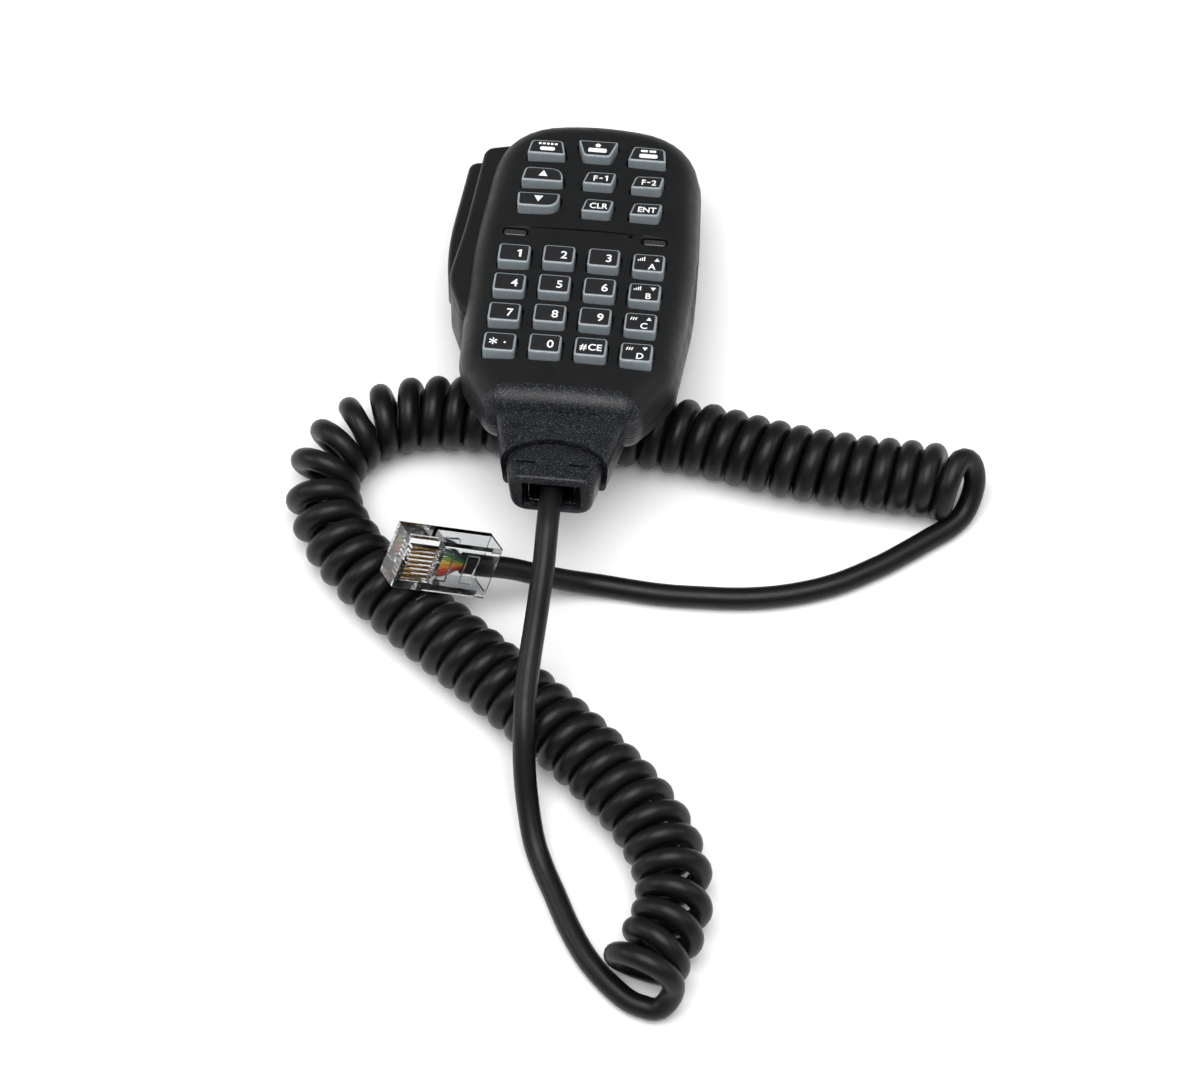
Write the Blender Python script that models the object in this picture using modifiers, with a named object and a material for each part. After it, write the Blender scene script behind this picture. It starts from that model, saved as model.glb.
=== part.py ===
"""Hand microphone: two-part case, 25 keys, push-to-talk lever, curly cord and modular plug.

The microphone is drawn in its own frame (+X to the right seen from the front, +Y towards its top
end, +Z out of the keypad, origin in the middle of the digit keys' tops) and then placed as it
lies: tilted, its hanger stud on the surface and its lower back on the coiled cord.
"""
import math

import bmesh
import bpy
from mathutils import Matrix, Vector

MM = 0.001
GAP = 0.3 * MM                      # clearance between pieces that touch

# ---- where things lie -----------------------------------------------------------------------
TILT = math.radians(10)             # the top end lies lower than the neck
MIC_POSITION = (2.82 * MM, -3.89 * MM, 35.84 * MM)
PLUG_POSITION = (-18.7 * MM, -58.6 * MM, 19.8 * MM)
PLUG_ROTATION = (math.radians(-62.4), math.radians(-31.0), math.radians(196.6))

# ---- case -----------------------------------------------------------------------------------
WALL = 2.0 * MM
FACE_Z = -2.0 * MM                  # the face in the middle, below the key tops
FACE_RADIUS = 155 * MM              # the face is crowned from side to side
EDGE_RADIUS = 5.0 * MM              # rounding round the face and round the back
DRAFT = 0.4 * MM
PARTING_Z = -11.0 * MM             # where front and rear case meet
WAIST_Z = -10.0 * MM                # where the case is widest
REAR_Z = -26.2 * MM
REAR_BREAK_Y = 12.6 * MM            # below this the back slopes up towards the neck
REAR_SLOPE = 0.245
# right half of the case outline, bottom to top: x, y and how far each corner is rounded
CASE_CORNERS = [
    (15.5 * MM, -27.3 * MM, 3.0 * MM),
    (22.6 * MM, -14.0 * MM, 3.5 * MM),
    (24.1 * MM, 18.0 * MM, 8.0 * MM),
    (21.6 * MM, 54.4 * MM, 13.7 * MM),
    (0.0, 55.8 * MM, 5.0 * MM),
]

# ---- side pod that shields the push-to-talk lever --------------------------------------------
POD_TOP_Z = -8.0 * MM
POD_BOTTOM_Z = -23.2 * MM
POD_EDGE = 1.2 * MM
POD_CORNERS = [
    (-16.0 * MM, 1.5 * MM, 1.0 * MM),
    (-16.0 * MM, 52.4 * MM, 1.0 * MM),
    (-24.9 * MM, 50.2 * MM, 2.2 * MM),
    (-26.3 * MM, 26.0 * MM, 6.0 * MM),
    (-28.0 * MM, 11.5 * MM, 3.5 * MM),
    (-23.9 * MM, 1.5 * MM, 2.5 * MM),
]

# ---- neck and its end cap: y, half width at front and back, front and back z -------------------
NECK_SECTIONS = [
    (-20.0 * MM, 14.6 * MM, 14.0 * MM, -5.0 * MM, -17.9 * MM),
    (-27.5 * MM, 13.3 * MM, 12.5 * MM, -5.4 * MM, -17.7 * MM),
    (-40.5 * MM, 10.6 * MM, 9.6 * MM, -6.3 * MM, -17.3 * MM),
]
NECK_CORNER = 2.2 * MM
NECK_WALL = 1.2 * MM
ARCH_RADIUS = 15.2 * MM             # the neck meets the cap along an arch
ARCH_TOP_Y = -33.7 * MM
CAP_SECTIONS = [
    (-33.0 * MM, 11.0 * MM, 10.1 * MM, -7.1 * MM, -17.2 * MM),
    (-43.2 * MM, 8.9 * MM, 7.9 * MM, -6.8 * MM, -17.2 * MM),
]
CAP_WALL = 1.0 * MM
CAP_END_WALL = 1.2 * MM
CAP_END_EDGE = 0.8 * MM
SPIGOT_LENGTH = 4.0 * MM            # how far the cap reaches up inside the neck
SPIGOT_OVERLAP = 6.5 * MM           # how far its inner sleeve runs down inside the cap

# ---- keys -------------------------------------------------------------------------------------
KEY_PITCH_X = 9.35 * MM
KEY_PITCH_Y = 8.39 * MM
KEY_WIDTH = 6.6 * MM
KEY_HEIGHT = 5.1 * MM
KEY_CORNER = 0.9 * MM
KEY_EDGE = 0.35 * MM
KEY_CLEARANCE = 0.35 * MM           # round a key, in the face
KEY_FLANGE = 0.45 * MM              # stops the key from falling out
KEY_FLANGE_TOP_Z = -5.7 * MM
KEY_FLANGE_BOTTOM_Z = -6.3 * MM
KEY_PLUNGER_INSET = 1.3 * MM
KEY_TRAVEL = 0.9 * MM
MAT_TOP_Z = KEY_FLANGE_BOTTOM_Z - KEY_TRAVEL - GAP
MAT_THICKNESS = 0.7 * MM
BOARD_TOP_Z = MAT_TOP_Z - MAT_THICKNESS - GAP
BOARD_THICKNESS = 1.6 * MM
BOARD_INSET = 4.2 * MM              # from the case outline to the board's edge
KEY_PLUNGER_Z = BOARD_TOP_Z + KEY_TRAVEL + 0.15 * MM

DIGIT_NAMES = [
    ["key_1", "key_2", "key_3", "key_a"],
    ["key_4", "key_5", "key_6", "key_b"],
    ["key_7", "key_8", "key_9", "key_c"],
    ["key_star", "key_0", "key_hash", "key_d"],
]
# upper keys: the outline of each top, counter-clockwise
UPPER_KEYS = {
    "key_top_left": [(-14.8, 41.8), (-6.6, 41.8), (-7.6, 46.1), (-14.2, 45.8)],
    "key_top_centre": [(-2.8, 41.8), (2.9, 41.8), (4.3, 46.5), (-4.3, 46.4)],
    "key_top_right": [(6.6, 41.8), (14.8, 41.8), (14.2, 45.8), (7.6, 46.1)],
    "key_up": [(-15.1, 33.7), (-6.3, 33.8), (-6.5, 35.6), (-9.1, 37.8), (-14.6, 37.7)],
    "key_down": [(-15.1, 26.2), (-8.7, 26.3), (-6.4, 28.6), (-6.4, 30.4), (-15.3, 30.2)],
    "key_f1": [(-2.2, 33.6), (4.2, 33.6), (4.8, 37.3), (-1.3, 37.2)],
    "key_f2": [(8.0, 33.8), (14.4, 34.0), (14.9, 37.6), (8.9, 37.4)],
    "key_clear": [(-1.6, 25.5), (4.5, 25.5), (5.1, 29.2), (-0.8, 29.3)],
    "key_enter": [(8.5, 25.8), (14.7, 26.0), (15.3, 29.7), (9.3, 29.5)],
}

# ---- indicator windows and microphone element -------------------------------------------------
WINDOW_CENTRES = {"window_left": (-14.8 * MM, 20.8 * MM), "window_right": (14.5 * MM, 20.8 * MM)}
WINDOW_WIDTH = 4.8 * MM
WINDOW_HEIGHT = 1.7 * MM
WINDOW_CORNER = 0.7 * MM
WINDOW_FLANGE = 0.5 * MM
WINDOW_SINK = 0.25 * MM             # the window lies a little below the face
ELEMENT_CENTRE = (7.6 * MM, 20.4 * MM)
ELEMENT_RADIUS = 2.7 * MM
ELEMENT_HEIGHT = 2.0 * MM
ELEMENT_TOP_Z = -5.0 * MM
BOOT_WALL = 0.6 * MM
SOUND_HOLE = (9.4 * MM, 21.3 * MM)
SOUND_HOLE_RADIUS = 0.5 * MM
SEAM_Y = 21.8 * MM                  # thin groove between the windows
SEAM_HALF_LENGTH = 11.9 * MM
SEAM_WIDTH = 0.45 * MM
SEAM_DEPTH = 0.5 * MM

# ---- fasteners ----------------------------------------------------------------------------------
SCREW_PLACES = [(0.0, 49.8 * MM), (11.0 * MM, -20.0 * MM), (-11.0 * MM, -20.0 * MM)]
SCREW_SHANK_RADIUS = 1.25 * MM
SCREW_HEAD_RADIUS = 2.3 * MM
SCREW_HEAD_HEIGHT = 1.5 * MM
SCREW_SEAT_Z = -16.0 * MM           # underside of the screws' heads
SCREW_TIP_Z = -5.6 * MM
FRONT_BOSS_RADIUS = 2.3 * MM
REAR_BOSS_RADIUS = 3.5 * MM

# ---- hanger stud on the back ----------------------------------------------------------------------
STUD_Y = 28.0 * MM
STUD_NECK_RADIUS = 3.6 * MM
STUD_HEAD_RADIUS = 5.8 * MM
STUD_NECK_LENGTH = 2.2 * MM
STUD_HEAD_HEIGHT = 1.8 * MM
STUD_BOSS_RADIUS = 3.3 * MM
STUD_BOSS_HEIGHT = 4.6 * MM

# ---- push-to-talk lever ------------------------------------------------------------------------------
LEVER_TOP_Z = -11.9 * MM
LEVER_BOTTOM_Z = -20.3 * MM
LEVER_EDGE = 0.8 * MM
LEVER_CLEARANCE = 0.4 * MM
LEVER_PIVOT = (-22.6 * MM, 46.2 * MM)
LEVER_INNER_X = -24.2 * MM
LEVER_LOW_Y = 13.2 * MM
LEVER_LUG_Y = 43.0 * MM
LEVER_SWING = 2.4 * MM              # room for the lever to swing in
LEVER_CORNERS = [
    (LEVER_INNER_X, LEVER_LOW_Y, 0.5 * MM),
    (LEVER_INNER_X, LEVER_LUG_Y, 0.5 * MM),
    (-20.9 * MM, 44.2 * MM, 0.8 * MM),
    (-20.9 * MM, 48.2 * MM, 0.8 * MM),
    (-25.6 * MM, 49.8 * MM, 0.5 * MM),
    (-28.2 * MM, 49.2 * MM, 1.8 * MM),
    (-29.9 * MM, 23.0 * MM, 8.0 * MM),
    (-28.2 * MM, LEVER_LOW_Y, 1.8 * MM),
]
PIN_RADIUS = 0.75 * MM
PIN_CLEARANCE = 0.35 * MM
PIN_TOP_Z = -9.3 * MM
PIN_BOTTOM_Z = -22.0 * MM
SWITCH_SIZE = (4.0 * MM, 6.2 * MM, 7.0 * MM)
SWITCH_OUTER_X = -21.0 * MM
SWITCH_Y = 23.0 * MM
PLUNGER_RADIUS = 1.2 * MM
PLUNGER_Z = -15.4 * MM
PLUNGER_LENGTH = 3.4 * MM
PLUNGER_BORE_DEPTH = 2.4 * MM

# ---- modular jack, plug and cord -------------------------------------------------------------------
JACK_Z = -12.0 * MM                 # centre line of the jack, its plug and the cord's exit
JACK_OPENING = (11.9 * MM, 6.9 * MM)
JACK_WALL = 0.35 * MM
JACK_DEPTH = 14.5 * MM
INNER_PLUG_LENGTH = 13.2 * MM
RIBBON_WIDTH = 8.0 * MM
RIBBON_LENGTH = 6.0 * MM
PLUG_LENGTH = 21.46 * MM
PLUG_WIDTH = 11.68 * MM
PLUG_THICKNESS = 6.6 * MM
PLUG_EDGE = 0.4 * MM
PLUG_HOLLOW = (8.9 * MM, 5.2 * MM)  # cable entry, width and thickness
CONTACT_COUNT = 8
CONTACT_PITCH = 1.02 * MM
CONTACT_THICKNESS = 0.4 * MM
CONTACT_SIZE = (6.0 * MM, 2.2 * MM)
CONTACT_POCKET_DEPTH = 2.9 * MM
NOSE_WALL = 1.2 * MM                # plastic left in front of the contacts
WIRES_SIZE = (8.0 * MM, 1.0 * MM)   # the flat fan of wires, width and thickness
LATCH_SETBACK = 2.2 * MM            # from the nose to the latch's hinge
CORD_IN_PLUG = 6.0 * MM
LATCH_LENGTH = 15.0 * MM
LATCH_WIDTH = 3.3 * MM
LATCH_THICKNESS = 0.9 * MM
LATCH_ANGLE = math.radians(9)
CORD_DIAMETER = 4.6 * MM
COIL_DIAMETER = 15.8 * MM

# the lead from the microphone: over the plug's lead and the coil, then down to the surface
MIC_LEAD_ROUTE = [
    (2.9, -57.0, 31.6), (2.9, -62.5, 29.4),
    (2.6, -68.5, 26.6), (2.2, -74.5, 23.6), (1.8, -81.0, 21.0), (1.7, -87.5, 19.0),
    (2.1, -94.0, 16.4), (2.7, -100.0, 12.2), (3.9, -105.8, 7.8), (5.7, -111.9, 4.2),
    (8.1, -117.1, 2.7), (11.0, -122.5, 2.45), (14.4, -128.7, 2.45), (18.4, -134.7, 2.45),
    (22.8, -139.9, 2.45), (27.0, -144.1, 2.6), (31.6, -146.1, 3.2),
]
COIL_ROUTE = [
    (81.7, -23.4, 7.95), (75.2, -23.1, 7.95), (65.2, -22.8, 7.95), (56.0, -22.2, 7.95),
    (46.5, -21.0, 7.95), (37.1, -19.2, 7.95), (28.0, -17.7, 7.95), (14.0, -16.9, 7.95),
    (0.0, -16.5, 7.95), (-12.0, -16.3, 7.95), (-22.5, -16.5, 7.95), (-32.0, -18.1, 7.95),
    (-39.6, -21.9, 7.95), (-44.8, -27.9, 7.95), (-47.0, -35.9, 7.95), (-44.0, -45.5, 7.95),
    (-37.4, -54.1, 7.95), (-29.9, -60.7, 7.95), (-21.4, -67.1, 7.95), (-10.5, -75.1, 7.95),
    (2.0, -84.3, 7.95), (11.6, -91.7, 7.95), (20.0, -98.9, 7.95), (28.0, -107.1, 7.95),
    (32.8, -115.1, 7.95), (34.9, -122.1, 7.95), (35.0, -128.9, 7.95), (33.6, -135.3, 7.95),
    (31.6, -140.1, 8.25),
]
PLUG_LEAD_ROUTE = [
    (85.8, -17.1, 12.4), (88.6, -19.9, 9.2), (88.4, -25.5, 4.6), (85.2, -31.5, 2.6),
    (78.0, -37.7, 2.45), (68.6, -43.3, 2.45), (57.8, -48.0, 2.45), (47.1, -51.2, 2.45),
    (36.0, -52.5, 2.45), (23.6, -52.5, 2.45), (12.5, -51.8, 2.7), (6.4, -52.4, 4.5),
    (0.6, -53.6, 7.9),
]
LEAD_STRAIGHT = 3.0 * MM            # how far a lead runs straight out of the cap
PLUG_LEAD_STRAIGHT = 6.0 * MM       # and out of the plug


# ---- materials ------------------------------------------------------------------------------------
def make_material(name, colour, roughness, metallic=0.0, alpha=1.0):
    """A Principled material with one colour, roughness and metallic value."""
    material = bpy.data.materials.new(name)
    material.use_nodes = True
    shader = material.node_tree.nodes["Principled BSDF"]
    shader.inputs["Base Color"].default_value = (*colour, 1.0)
    shader.inputs["Roughness"].default_value = roughness
    shader.inputs["Metallic"].default_value = metallic
    shader.inputs["Alpha"].default_value = alpha
    return material


# ---- building blocks --------------------------------------------------------------------------------
def clear_scene():
    """Remove whatever the file starts with."""
    for item in list(bpy.data.objects):
        bpy.data.objects.remove(item, do_unlink=True)


def add_object(name, data, material, collection, parent):
    """Put mesh or curve data in the scene as a named object."""
    item = bpy.data.objects.new(name, data)
    data.materials.append(material)
    collection.objects.link(item)
    item.parent = parent
    return item


def smooth(mesh, degrees=35):
    """Shade a mesh smooth, with its sharp edges kept."""
    mesh.shade_smooth()
    mesh.set_sharp_from_angle(angle=math.radians(degrees))


def finish_mesh(name, bm):
    """Close a bmesh into a mesh whose faces point out."""
    bmesh.ops.recalc_face_normals(bm, faces=bm.faces[:])
    mesh = bpy.data.meshes.new(name)
    bm.to_mesh(mesh)
    bm.free()
    smooth(mesh)
    return mesh


def box_mesh(name, low, high):
    """A box between two corners."""
    bm = bmesh.new()
    bmesh.ops.create_cube(bm, size=1.0)
    centre = (Vector(low) + Vector(high)) / 2
    size = Vector(high) - Vector(low)
    for vertex in bm.verts:
        vertex.co = centre + Vector(a * b for a, b in zip(vertex.co, size))
    return finish_mesh(name, bm)


def cylinder_mesh(name, centre, radius, low, high, axis="Z", steps=20):
    """A cylinder between two heights on the Z axis, or two places along X."""
    bm = bmesh.new()
    bmesh.ops.create_cone(bm, cap_ends=True, segments=steps, radius1=radius, radius2=radius,
                          depth=high - low)
    middle = (low + high) / 2
    if axis == "Z":
        place = Matrix.Translation((centre[0], centre[1], middle))
    else:
        place = Matrix.Translation((middle, centre[0], centre[1])) @ Matrix.Rotation(math.pi / 2, 4, "Y")
    bmesh.ops.transform(bm, matrix=place, verts=bm.verts[:])
    return finish_mesh(name, bm)


def rounded_outline(corners, inset=0.0, steps=3):
    """Points round a counter-clockwise outline moved in by inset, each corner cut to a curve."""
    count = len(corners)
    moved = []
    for i, (x, y, cut) in enumerate(corners):
        before = Vector(corners[i - 1][:2])
        here = Vector((x, y))
        after = Vector(corners[(i + 1) % count][:2])
        edge_in = (here - before).normalized()
        edge_out = (after - here).normalized()
        turn = math.atan2(edge_in.cross(edge_out), edge_in.dot(edge_out))
        normal_in = Vector((-edge_in.y, edge_in.x))
        normal_out = Vector((-edge_out.y, edge_out.x))
        shift = (normal_in + normal_out) / (1 + normal_in.dot(normal_out)) * inset
        new_cut = max(cut - inset * math.tan(turn / 2), 0.25 * cut)
        moved.append((here + shift, edge_in, edge_out, new_cut))
    points = []
    for here, edge_in, edge_out, cut in moved:
        start = here - edge_in * cut
        end = here + edge_out * cut
        for step in range(steps + 1):
            s = step / steps
            points.append(start * (1 - s) ** 2 + here * 2 * s * (1 - s) + end * s ** 2)
    return points


def mirrored(right_half):
    """A whole outline from its right half, which ends at the middle of the top."""
    left_half = [(-x, y, cut) for x, y, cut in reversed(right_half) if x > 0]
    return right_half + left_half


def bridge(bm, ring_a, ring_b):
    """Join two rings of vertices with a band of faces."""
    count = len(ring_a)
    for i in range(count):
        j = (i + 1) % count
        bm.faces.new((ring_a[i], ring_a[j], ring_b[j], ring_b[i]))


def loft_mesh(name, rings):
    """A closed solid through rings of points, with a flat face on each end."""
    bm = bmesh.new()
    verts = [[bm.verts.new(point) for point in ring] for ring in rings]
    for ring_a, ring_b in zip(verts, verts[1:]):
        bridge(bm, ring_a, ring_b)
    bm.faces.new(verts[0])
    bm.faces.new(verts[-1])
    return finish_mesh(name, bm)


def prism_mesh(name, outline, low, high, edge=0.0, steps=3, inset=0.0):
    """A plate with the given outline moved in by inset, its edges taken off by edge."""
    levels = [(low, edge), (low + edge, 0.0), (high - edge, 0.0), (high, edge)]
    if edge == 0.0:
        levels = [(low, 0.0), (high, 0.0)]
    rings = [[(p.x, p.y, z) for p in rounded_outline(outline, inset + more, steps)]
             for z, more in levels]
    return loft_mesh(name, rings)


def turned_object(name, profile, place, material, collection, parent, steps=20):
    """A solid of revolution about Z through place, from a closed profile of (radius, z)."""
    mesh = bpy.data.meshes.new(name)
    points = [(radius, 0.0, z) for radius, z in profile]
    last = len(points) - 1
    edges = [(i, i + 1) for i in range(last)]
    if profile[0][0] > 0 and profile[-1][0] > 0:
        edges.append((last, 0))
    mesh.from_pydata(points, edges, [])
    item = add_object(name, mesh, material, collection, parent)
    item.location = place
    screw = item.modifiers.new("turn", "SCREW")
    screw.steps = steps
    screw.render_steps = steps
    screw.use_merge_vertices = True
    screw.merge_threshold = 0.00001
    return item


def boolean(item, operation, cutter, solver="EXACT"):
    """Cut, join or trim an object with another object or with a whole collection."""
    modifier = item.modifiers.new(operation.lower(), "BOOLEAN")
    modifier.operation = operation
    modifier.solver = solver
    if isinstance(cutter, bpy.types.Collection):
        modifier.operand_type = "COLLECTION"
        modifier.collection = cutter
    else:
        modifier.object = cutter
    return modifier


def in_metres(route):
    """Points of a route that is given in millimetres."""
    return [Vector(point) * MM for point in route]


def smooth_route(points, spacing):
    """Even points along a smooth curve through the given points."""
    anchors = [2 * points[0] - points[1]] + points + [2 * points[-1] - points[-2]]
    fine = []
    for a, b, c, d in zip(anchors, anchors[1:], anchors[2:], anchors[3:]):
        for step in range(20):
            s = step / 20
            fine.append(0.5 * (2 * b + (c - a) * s + (2 * a - 5 * b + 4 * c - d) * s ** 2
                               + (3 * b - a - 3 * c + d) * s ** 3))
    fine.append(anchors[-2])
    travelled = [0.0]
    for a, b in zip(fine, fine[1:]):
        travelled.append(travelled[-1] + (b - a).length)
    count = max(2, round(travelled[-1] / spacing))
    route = []
    i = 0
    for n in range(count + 1):
        wanted = travelled[-1] * n / count
        while i < len(fine) - 2 and travelled[i + 1] < wanted:
            i += 1
        share = (wanted - travelled[i]) / (travelled[i + 1] - travelled[i])
        route.append(fine[i].lerp(fine[i + 1], share))
    return route


def tube(name, route, radius, resolution, material, collection):
    """A round cord as a curve object with closed ends."""
    curve = bpy.data.curves.new(name, "CURVE")
    curve.dimensions = "3D"
    curve.bevel_depth = radius
    curve.bevel_resolution = resolution
    curve.use_fill_caps = True
    spline = curve.splines.new("POLY")
    spline.points.add(len(route) - 1)
    for point, place in zip(spline.points, route):
        point.co = (*place, 1.0)
    return add_object(name, curve, material, collection, None)


# ---- the microphone's pieces ---------------------------------------------------------------------------
class Workshop:
    """Holds the collections, frames and materials that every piece is made with."""

    def __init__(self):
        self.parts = bpy.data.collections.new("hand_microphone")
        self.cutters = bpy.data.collections.new("cutters")
        for collection in (self.parts, self.cutters):
            bpy.context.scene.collection.children.link(collection)
        self.mic = bpy.data.objects.new("microphone_frame", None)
        self.mic.location = MIC_POSITION
        self.mic.rotation_euler = (-TILT, 0.0, 0.0)
        self.plug = bpy.data.objects.new("plug_frame", None)
        self.plug.location = PLUG_POSITION
        self.plug.rotation_euler = PLUG_ROTATION
        for frame in (self.mic, self.plug):
            self.parts.objects.link(frame)
        self.case_plastic = make_material("case_plastic", (0.022, 0.024, 0.027), 0.5)
        self.lever_plastic = make_material("lever_plastic", (0.018, 0.020, 0.023), 0.42)
        self.key_plastic = make_material("key_plastic", (0.22, 0.26, 0.30), 0.45)
        self.smoke_plastic = make_material("smoke_plastic", (0.05, 0.055, 0.05), 0.3)
        self.mat_rubber = make_material("mat_rubber", (0.16, 0.18, 0.20), 0.6)
        self.board_laminate = make_material("board_laminate", (0.02, 0.12, 0.05), 0.5)
        self.steel = make_material("steel", (0.60, 0.60, 0.62), 0.3, 1.0)
        self.gold = make_material("gold", (0.80, 0.55, 0.22), 0.25, 1.0)
        self.clear_plastic = make_material("clear_plastic", (0.90, 0.92, 0.93), 0.06, 0.0, 0.35)
        self.cord_rubber = make_material("cord_rubber", (0.016, 0.017, 0.019), 0.42)

    def part(self, name, mesh, material, parent="mic", origin=None):
        """Add a finished piece; an origin moves its own origin there without moving the piece."""
        frame = {"mic": self.mic, "plug": self.plug, "world": None}[parent]
        item = add_object(name, mesh, material, self.parts, frame)
        if origin is not None:
            mesh.transform(Matrix.Translation(-Vector(origin)))
            item.location = origin
        return item

    def cutter(self, name, mesh, collection=None, parent="mic"):
        """Add a cutter, which is a guide and not a piece."""
        frame = {"mic": self.mic, "plug": self.plug}[parent]
        item = add_object(name, mesh, self.steel, collection or self.cutters, frame)
        item.hide_render = True
        item.display_type = "WIRE"
        return item

    def cutter_group(self, name):
        """A collection of cutters that are used together."""
        group = bpy.data.collections.new(name)
        self.cutters.children.link(group)
        return group


def face_height(x):
    """Height of the crowned face."""
    return FACE_Z - x * x / (2 * FACE_RADIUS)


def rear_height(y):
    """Height of the back, which slopes up towards the neck."""
    return REAR_Z + max(0.0, REAR_BREAK_Y - y) * REAR_SLOPE


def cap_rows(bm, ring, columns, height):
    """Close a mirror-symmetric ring with rows of faces that follow height(x, y)."""
    count = len(ring)
    rows = []
    for k in range(count // 2):
        right = ring[k]
        left = ring[count - 1 - k]
        inner = []
        if 0 < k < count // 2 - 1:
            for n in range(1, columns):
                x = right.co.x + (left.co.x - right.co.x) * n / columns
                y = right.co.y + (left.co.y - right.co.y) * n / columns
                inner.append(bm.verts.new((x, y, height(x, y))))
        rows.append([right, *inner, left])
    for lower, upper in zip(rows, rows[1:]):
        if len(lower) == len(upper):
            for n in range(len(lower) - 1):
                bm.faces.new((lower[n], upper[n], upper[n + 1], lower[n + 1]))
        else:
            bm.faces.new((*lower, *reversed(upper)))


def case_form_mesh(name, wall, edge_steps=4):
    """The case without its neck and pod, or with wall set, the room inside it."""
    outline = mirrored(CASE_CORNERS)
    radius = EDGE_RADIUS - wall
    angles = [math.pi / 2 * step / edge_steps for step in range(edge_steps + 1)]
    bm = bmesh.new()
    rings = []
    for angle in angles:
        inset = wall + DRAFT + radius * (1 - math.sin(angle))
        depth = wall + radius * (1 - math.cos(angle))
        rings.append([bm.verts.new((p.x, p.y, face_height(p.x) - depth))
                      for p in rounded_outline(outline, inset)])
    rings.append([bm.verts.new((p.x, p.y, WAIST_Z)) for p in rounded_outline(outline, wall)])
    for angle in reversed(angles):
        inset = wall + DRAFT + radius * (1 - math.sin(angle))
        rise = wall + radius * (1 - math.cos(angle))
        rings.append([bm.verts.new((p.x, p.y, rear_height(p.y) + rise))
                      for p in rounded_outline(outline, inset)])
    for ring_a, ring_b in zip(rings, rings[1:]):
        bridge(bm, ring_a, ring_b)
    cap_rows(bm, rings[0], 8, lambda x, y: face_height(x) - wall)
    cap_rows(bm, rings[-1], 1, None)
    return finish_mesh(name, bm)


def section_ring(section, inset, y=None):
    """Points round a neck section, which lies across the Y axis."""
    place, front, back, top, bottom = section
    corners = [
        (-front, top, NECK_CORNER), (-back, bottom, NECK_CORNER),
        (back, bottom, NECK_CORNER), (front, top, NECK_CORNER),
    ]
    along = place if y is None else y
    return [(p.x, along, p.y) for p in rounded_outline(corners, inset)]


def section_at(sections, y):
    """The section between two listed ones, at y."""
    for a, b in zip(sections, sections[1:]):
        if y >= b[0] or b is sections[-1]:
            share = (y - a[0]) / (b[0] - a[0])
            return tuple(p + (q - p) * share for p, q in zip(a, b))
    return sections[-1]


def neck_mesh(name, inset):
    """The neck from inside the case to beyond the arch."""
    sections = list(NECK_SECTIONS)
    if inset > 0:
        sections[0] = section_at(NECK_SECTIONS, sections[0][0] + WALL)
    return loft_mesh(name, [section_ring(section, inset) for section in sections])


def arch_mesh(name, radius):
    """The upright cylinder whose edge is the arch between neck and cap."""
    centre = (0.0, ARCH_TOP_Y - ARCH_RADIUS)
    return cylinder_mesh(name, centre, radius, REAR_Z, 0.0, steps=64)


def key_outlines():
    """Name, centre and corner list (relative to the centre) of every key."""
    keys = {}
    for row, names in enumerate(DIGIT_NAMES):
        for column, name in enumerate(names):
            x = (column - 1.5) * KEY_PITCH_X
            y = (1.5 - row) * KEY_PITCH_Y
            keys[name] = ((x, y), rectangle(KEY_WIDTH, KEY_HEIGHT, KEY_CORNER))
    for name, points in UPPER_KEYS.items():
        x = sum(p[0] for p in points) / len(points) * MM
        y = sum(p[1] for p in points) / len(points) * MM
        keys[name] = ((x, y), [(px * MM - x, py * MM - y, KEY_CORNER * 0.8) for px, py in points])
    return keys


def key_mesh(name, centre, corners):
    """A key: cap, flange under the face and plunger, about the centre of its top."""
    top = -centre[0] ** 2 / (2 * FACE_RADIUS)
    levels = [
        (KEY_PLUNGER_Z, KEY_PLUNGER_INSET), (KEY_FLANGE_BOTTOM_Z, KEY_PLUNGER_INSET),
        (KEY_FLANGE_BOTTOM_Z, -KEY_FLANGE), (KEY_FLANGE_TOP_Z, -KEY_FLANGE),
        (KEY_FLANGE_TOP_Z, 0.0), (top - KEY_EDGE, 0.0), (top, KEY_EDGE),
    ]
    rings = [[(p.x, p.y, z) for p in rounded_outline(corners, inset, 1)] for z, inset in levels]
    return loft_mesh(name, rings)


def shifted(corners, centre):
    """A corner list moved to its place on the face."""
    return [(x + centre[0], y + centre[1], cut) for x, y, cut in corners]


def rectangle(width, height, cut):
    """Corner list of a rectangle about its own centre."""
    x = width / 2
    y = height / 2
    return [(-x, -y, cut), (x, -y, cut), (x, y, cut), (-x, y, cut)]


def window_outline(centre):
    """Corner list of an indicator window in its place."""
    return shifted(rectangle(WINDOW_WIDTH, WINDOW_HEIGHT, WINDOW_CORNER), centre)


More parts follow.
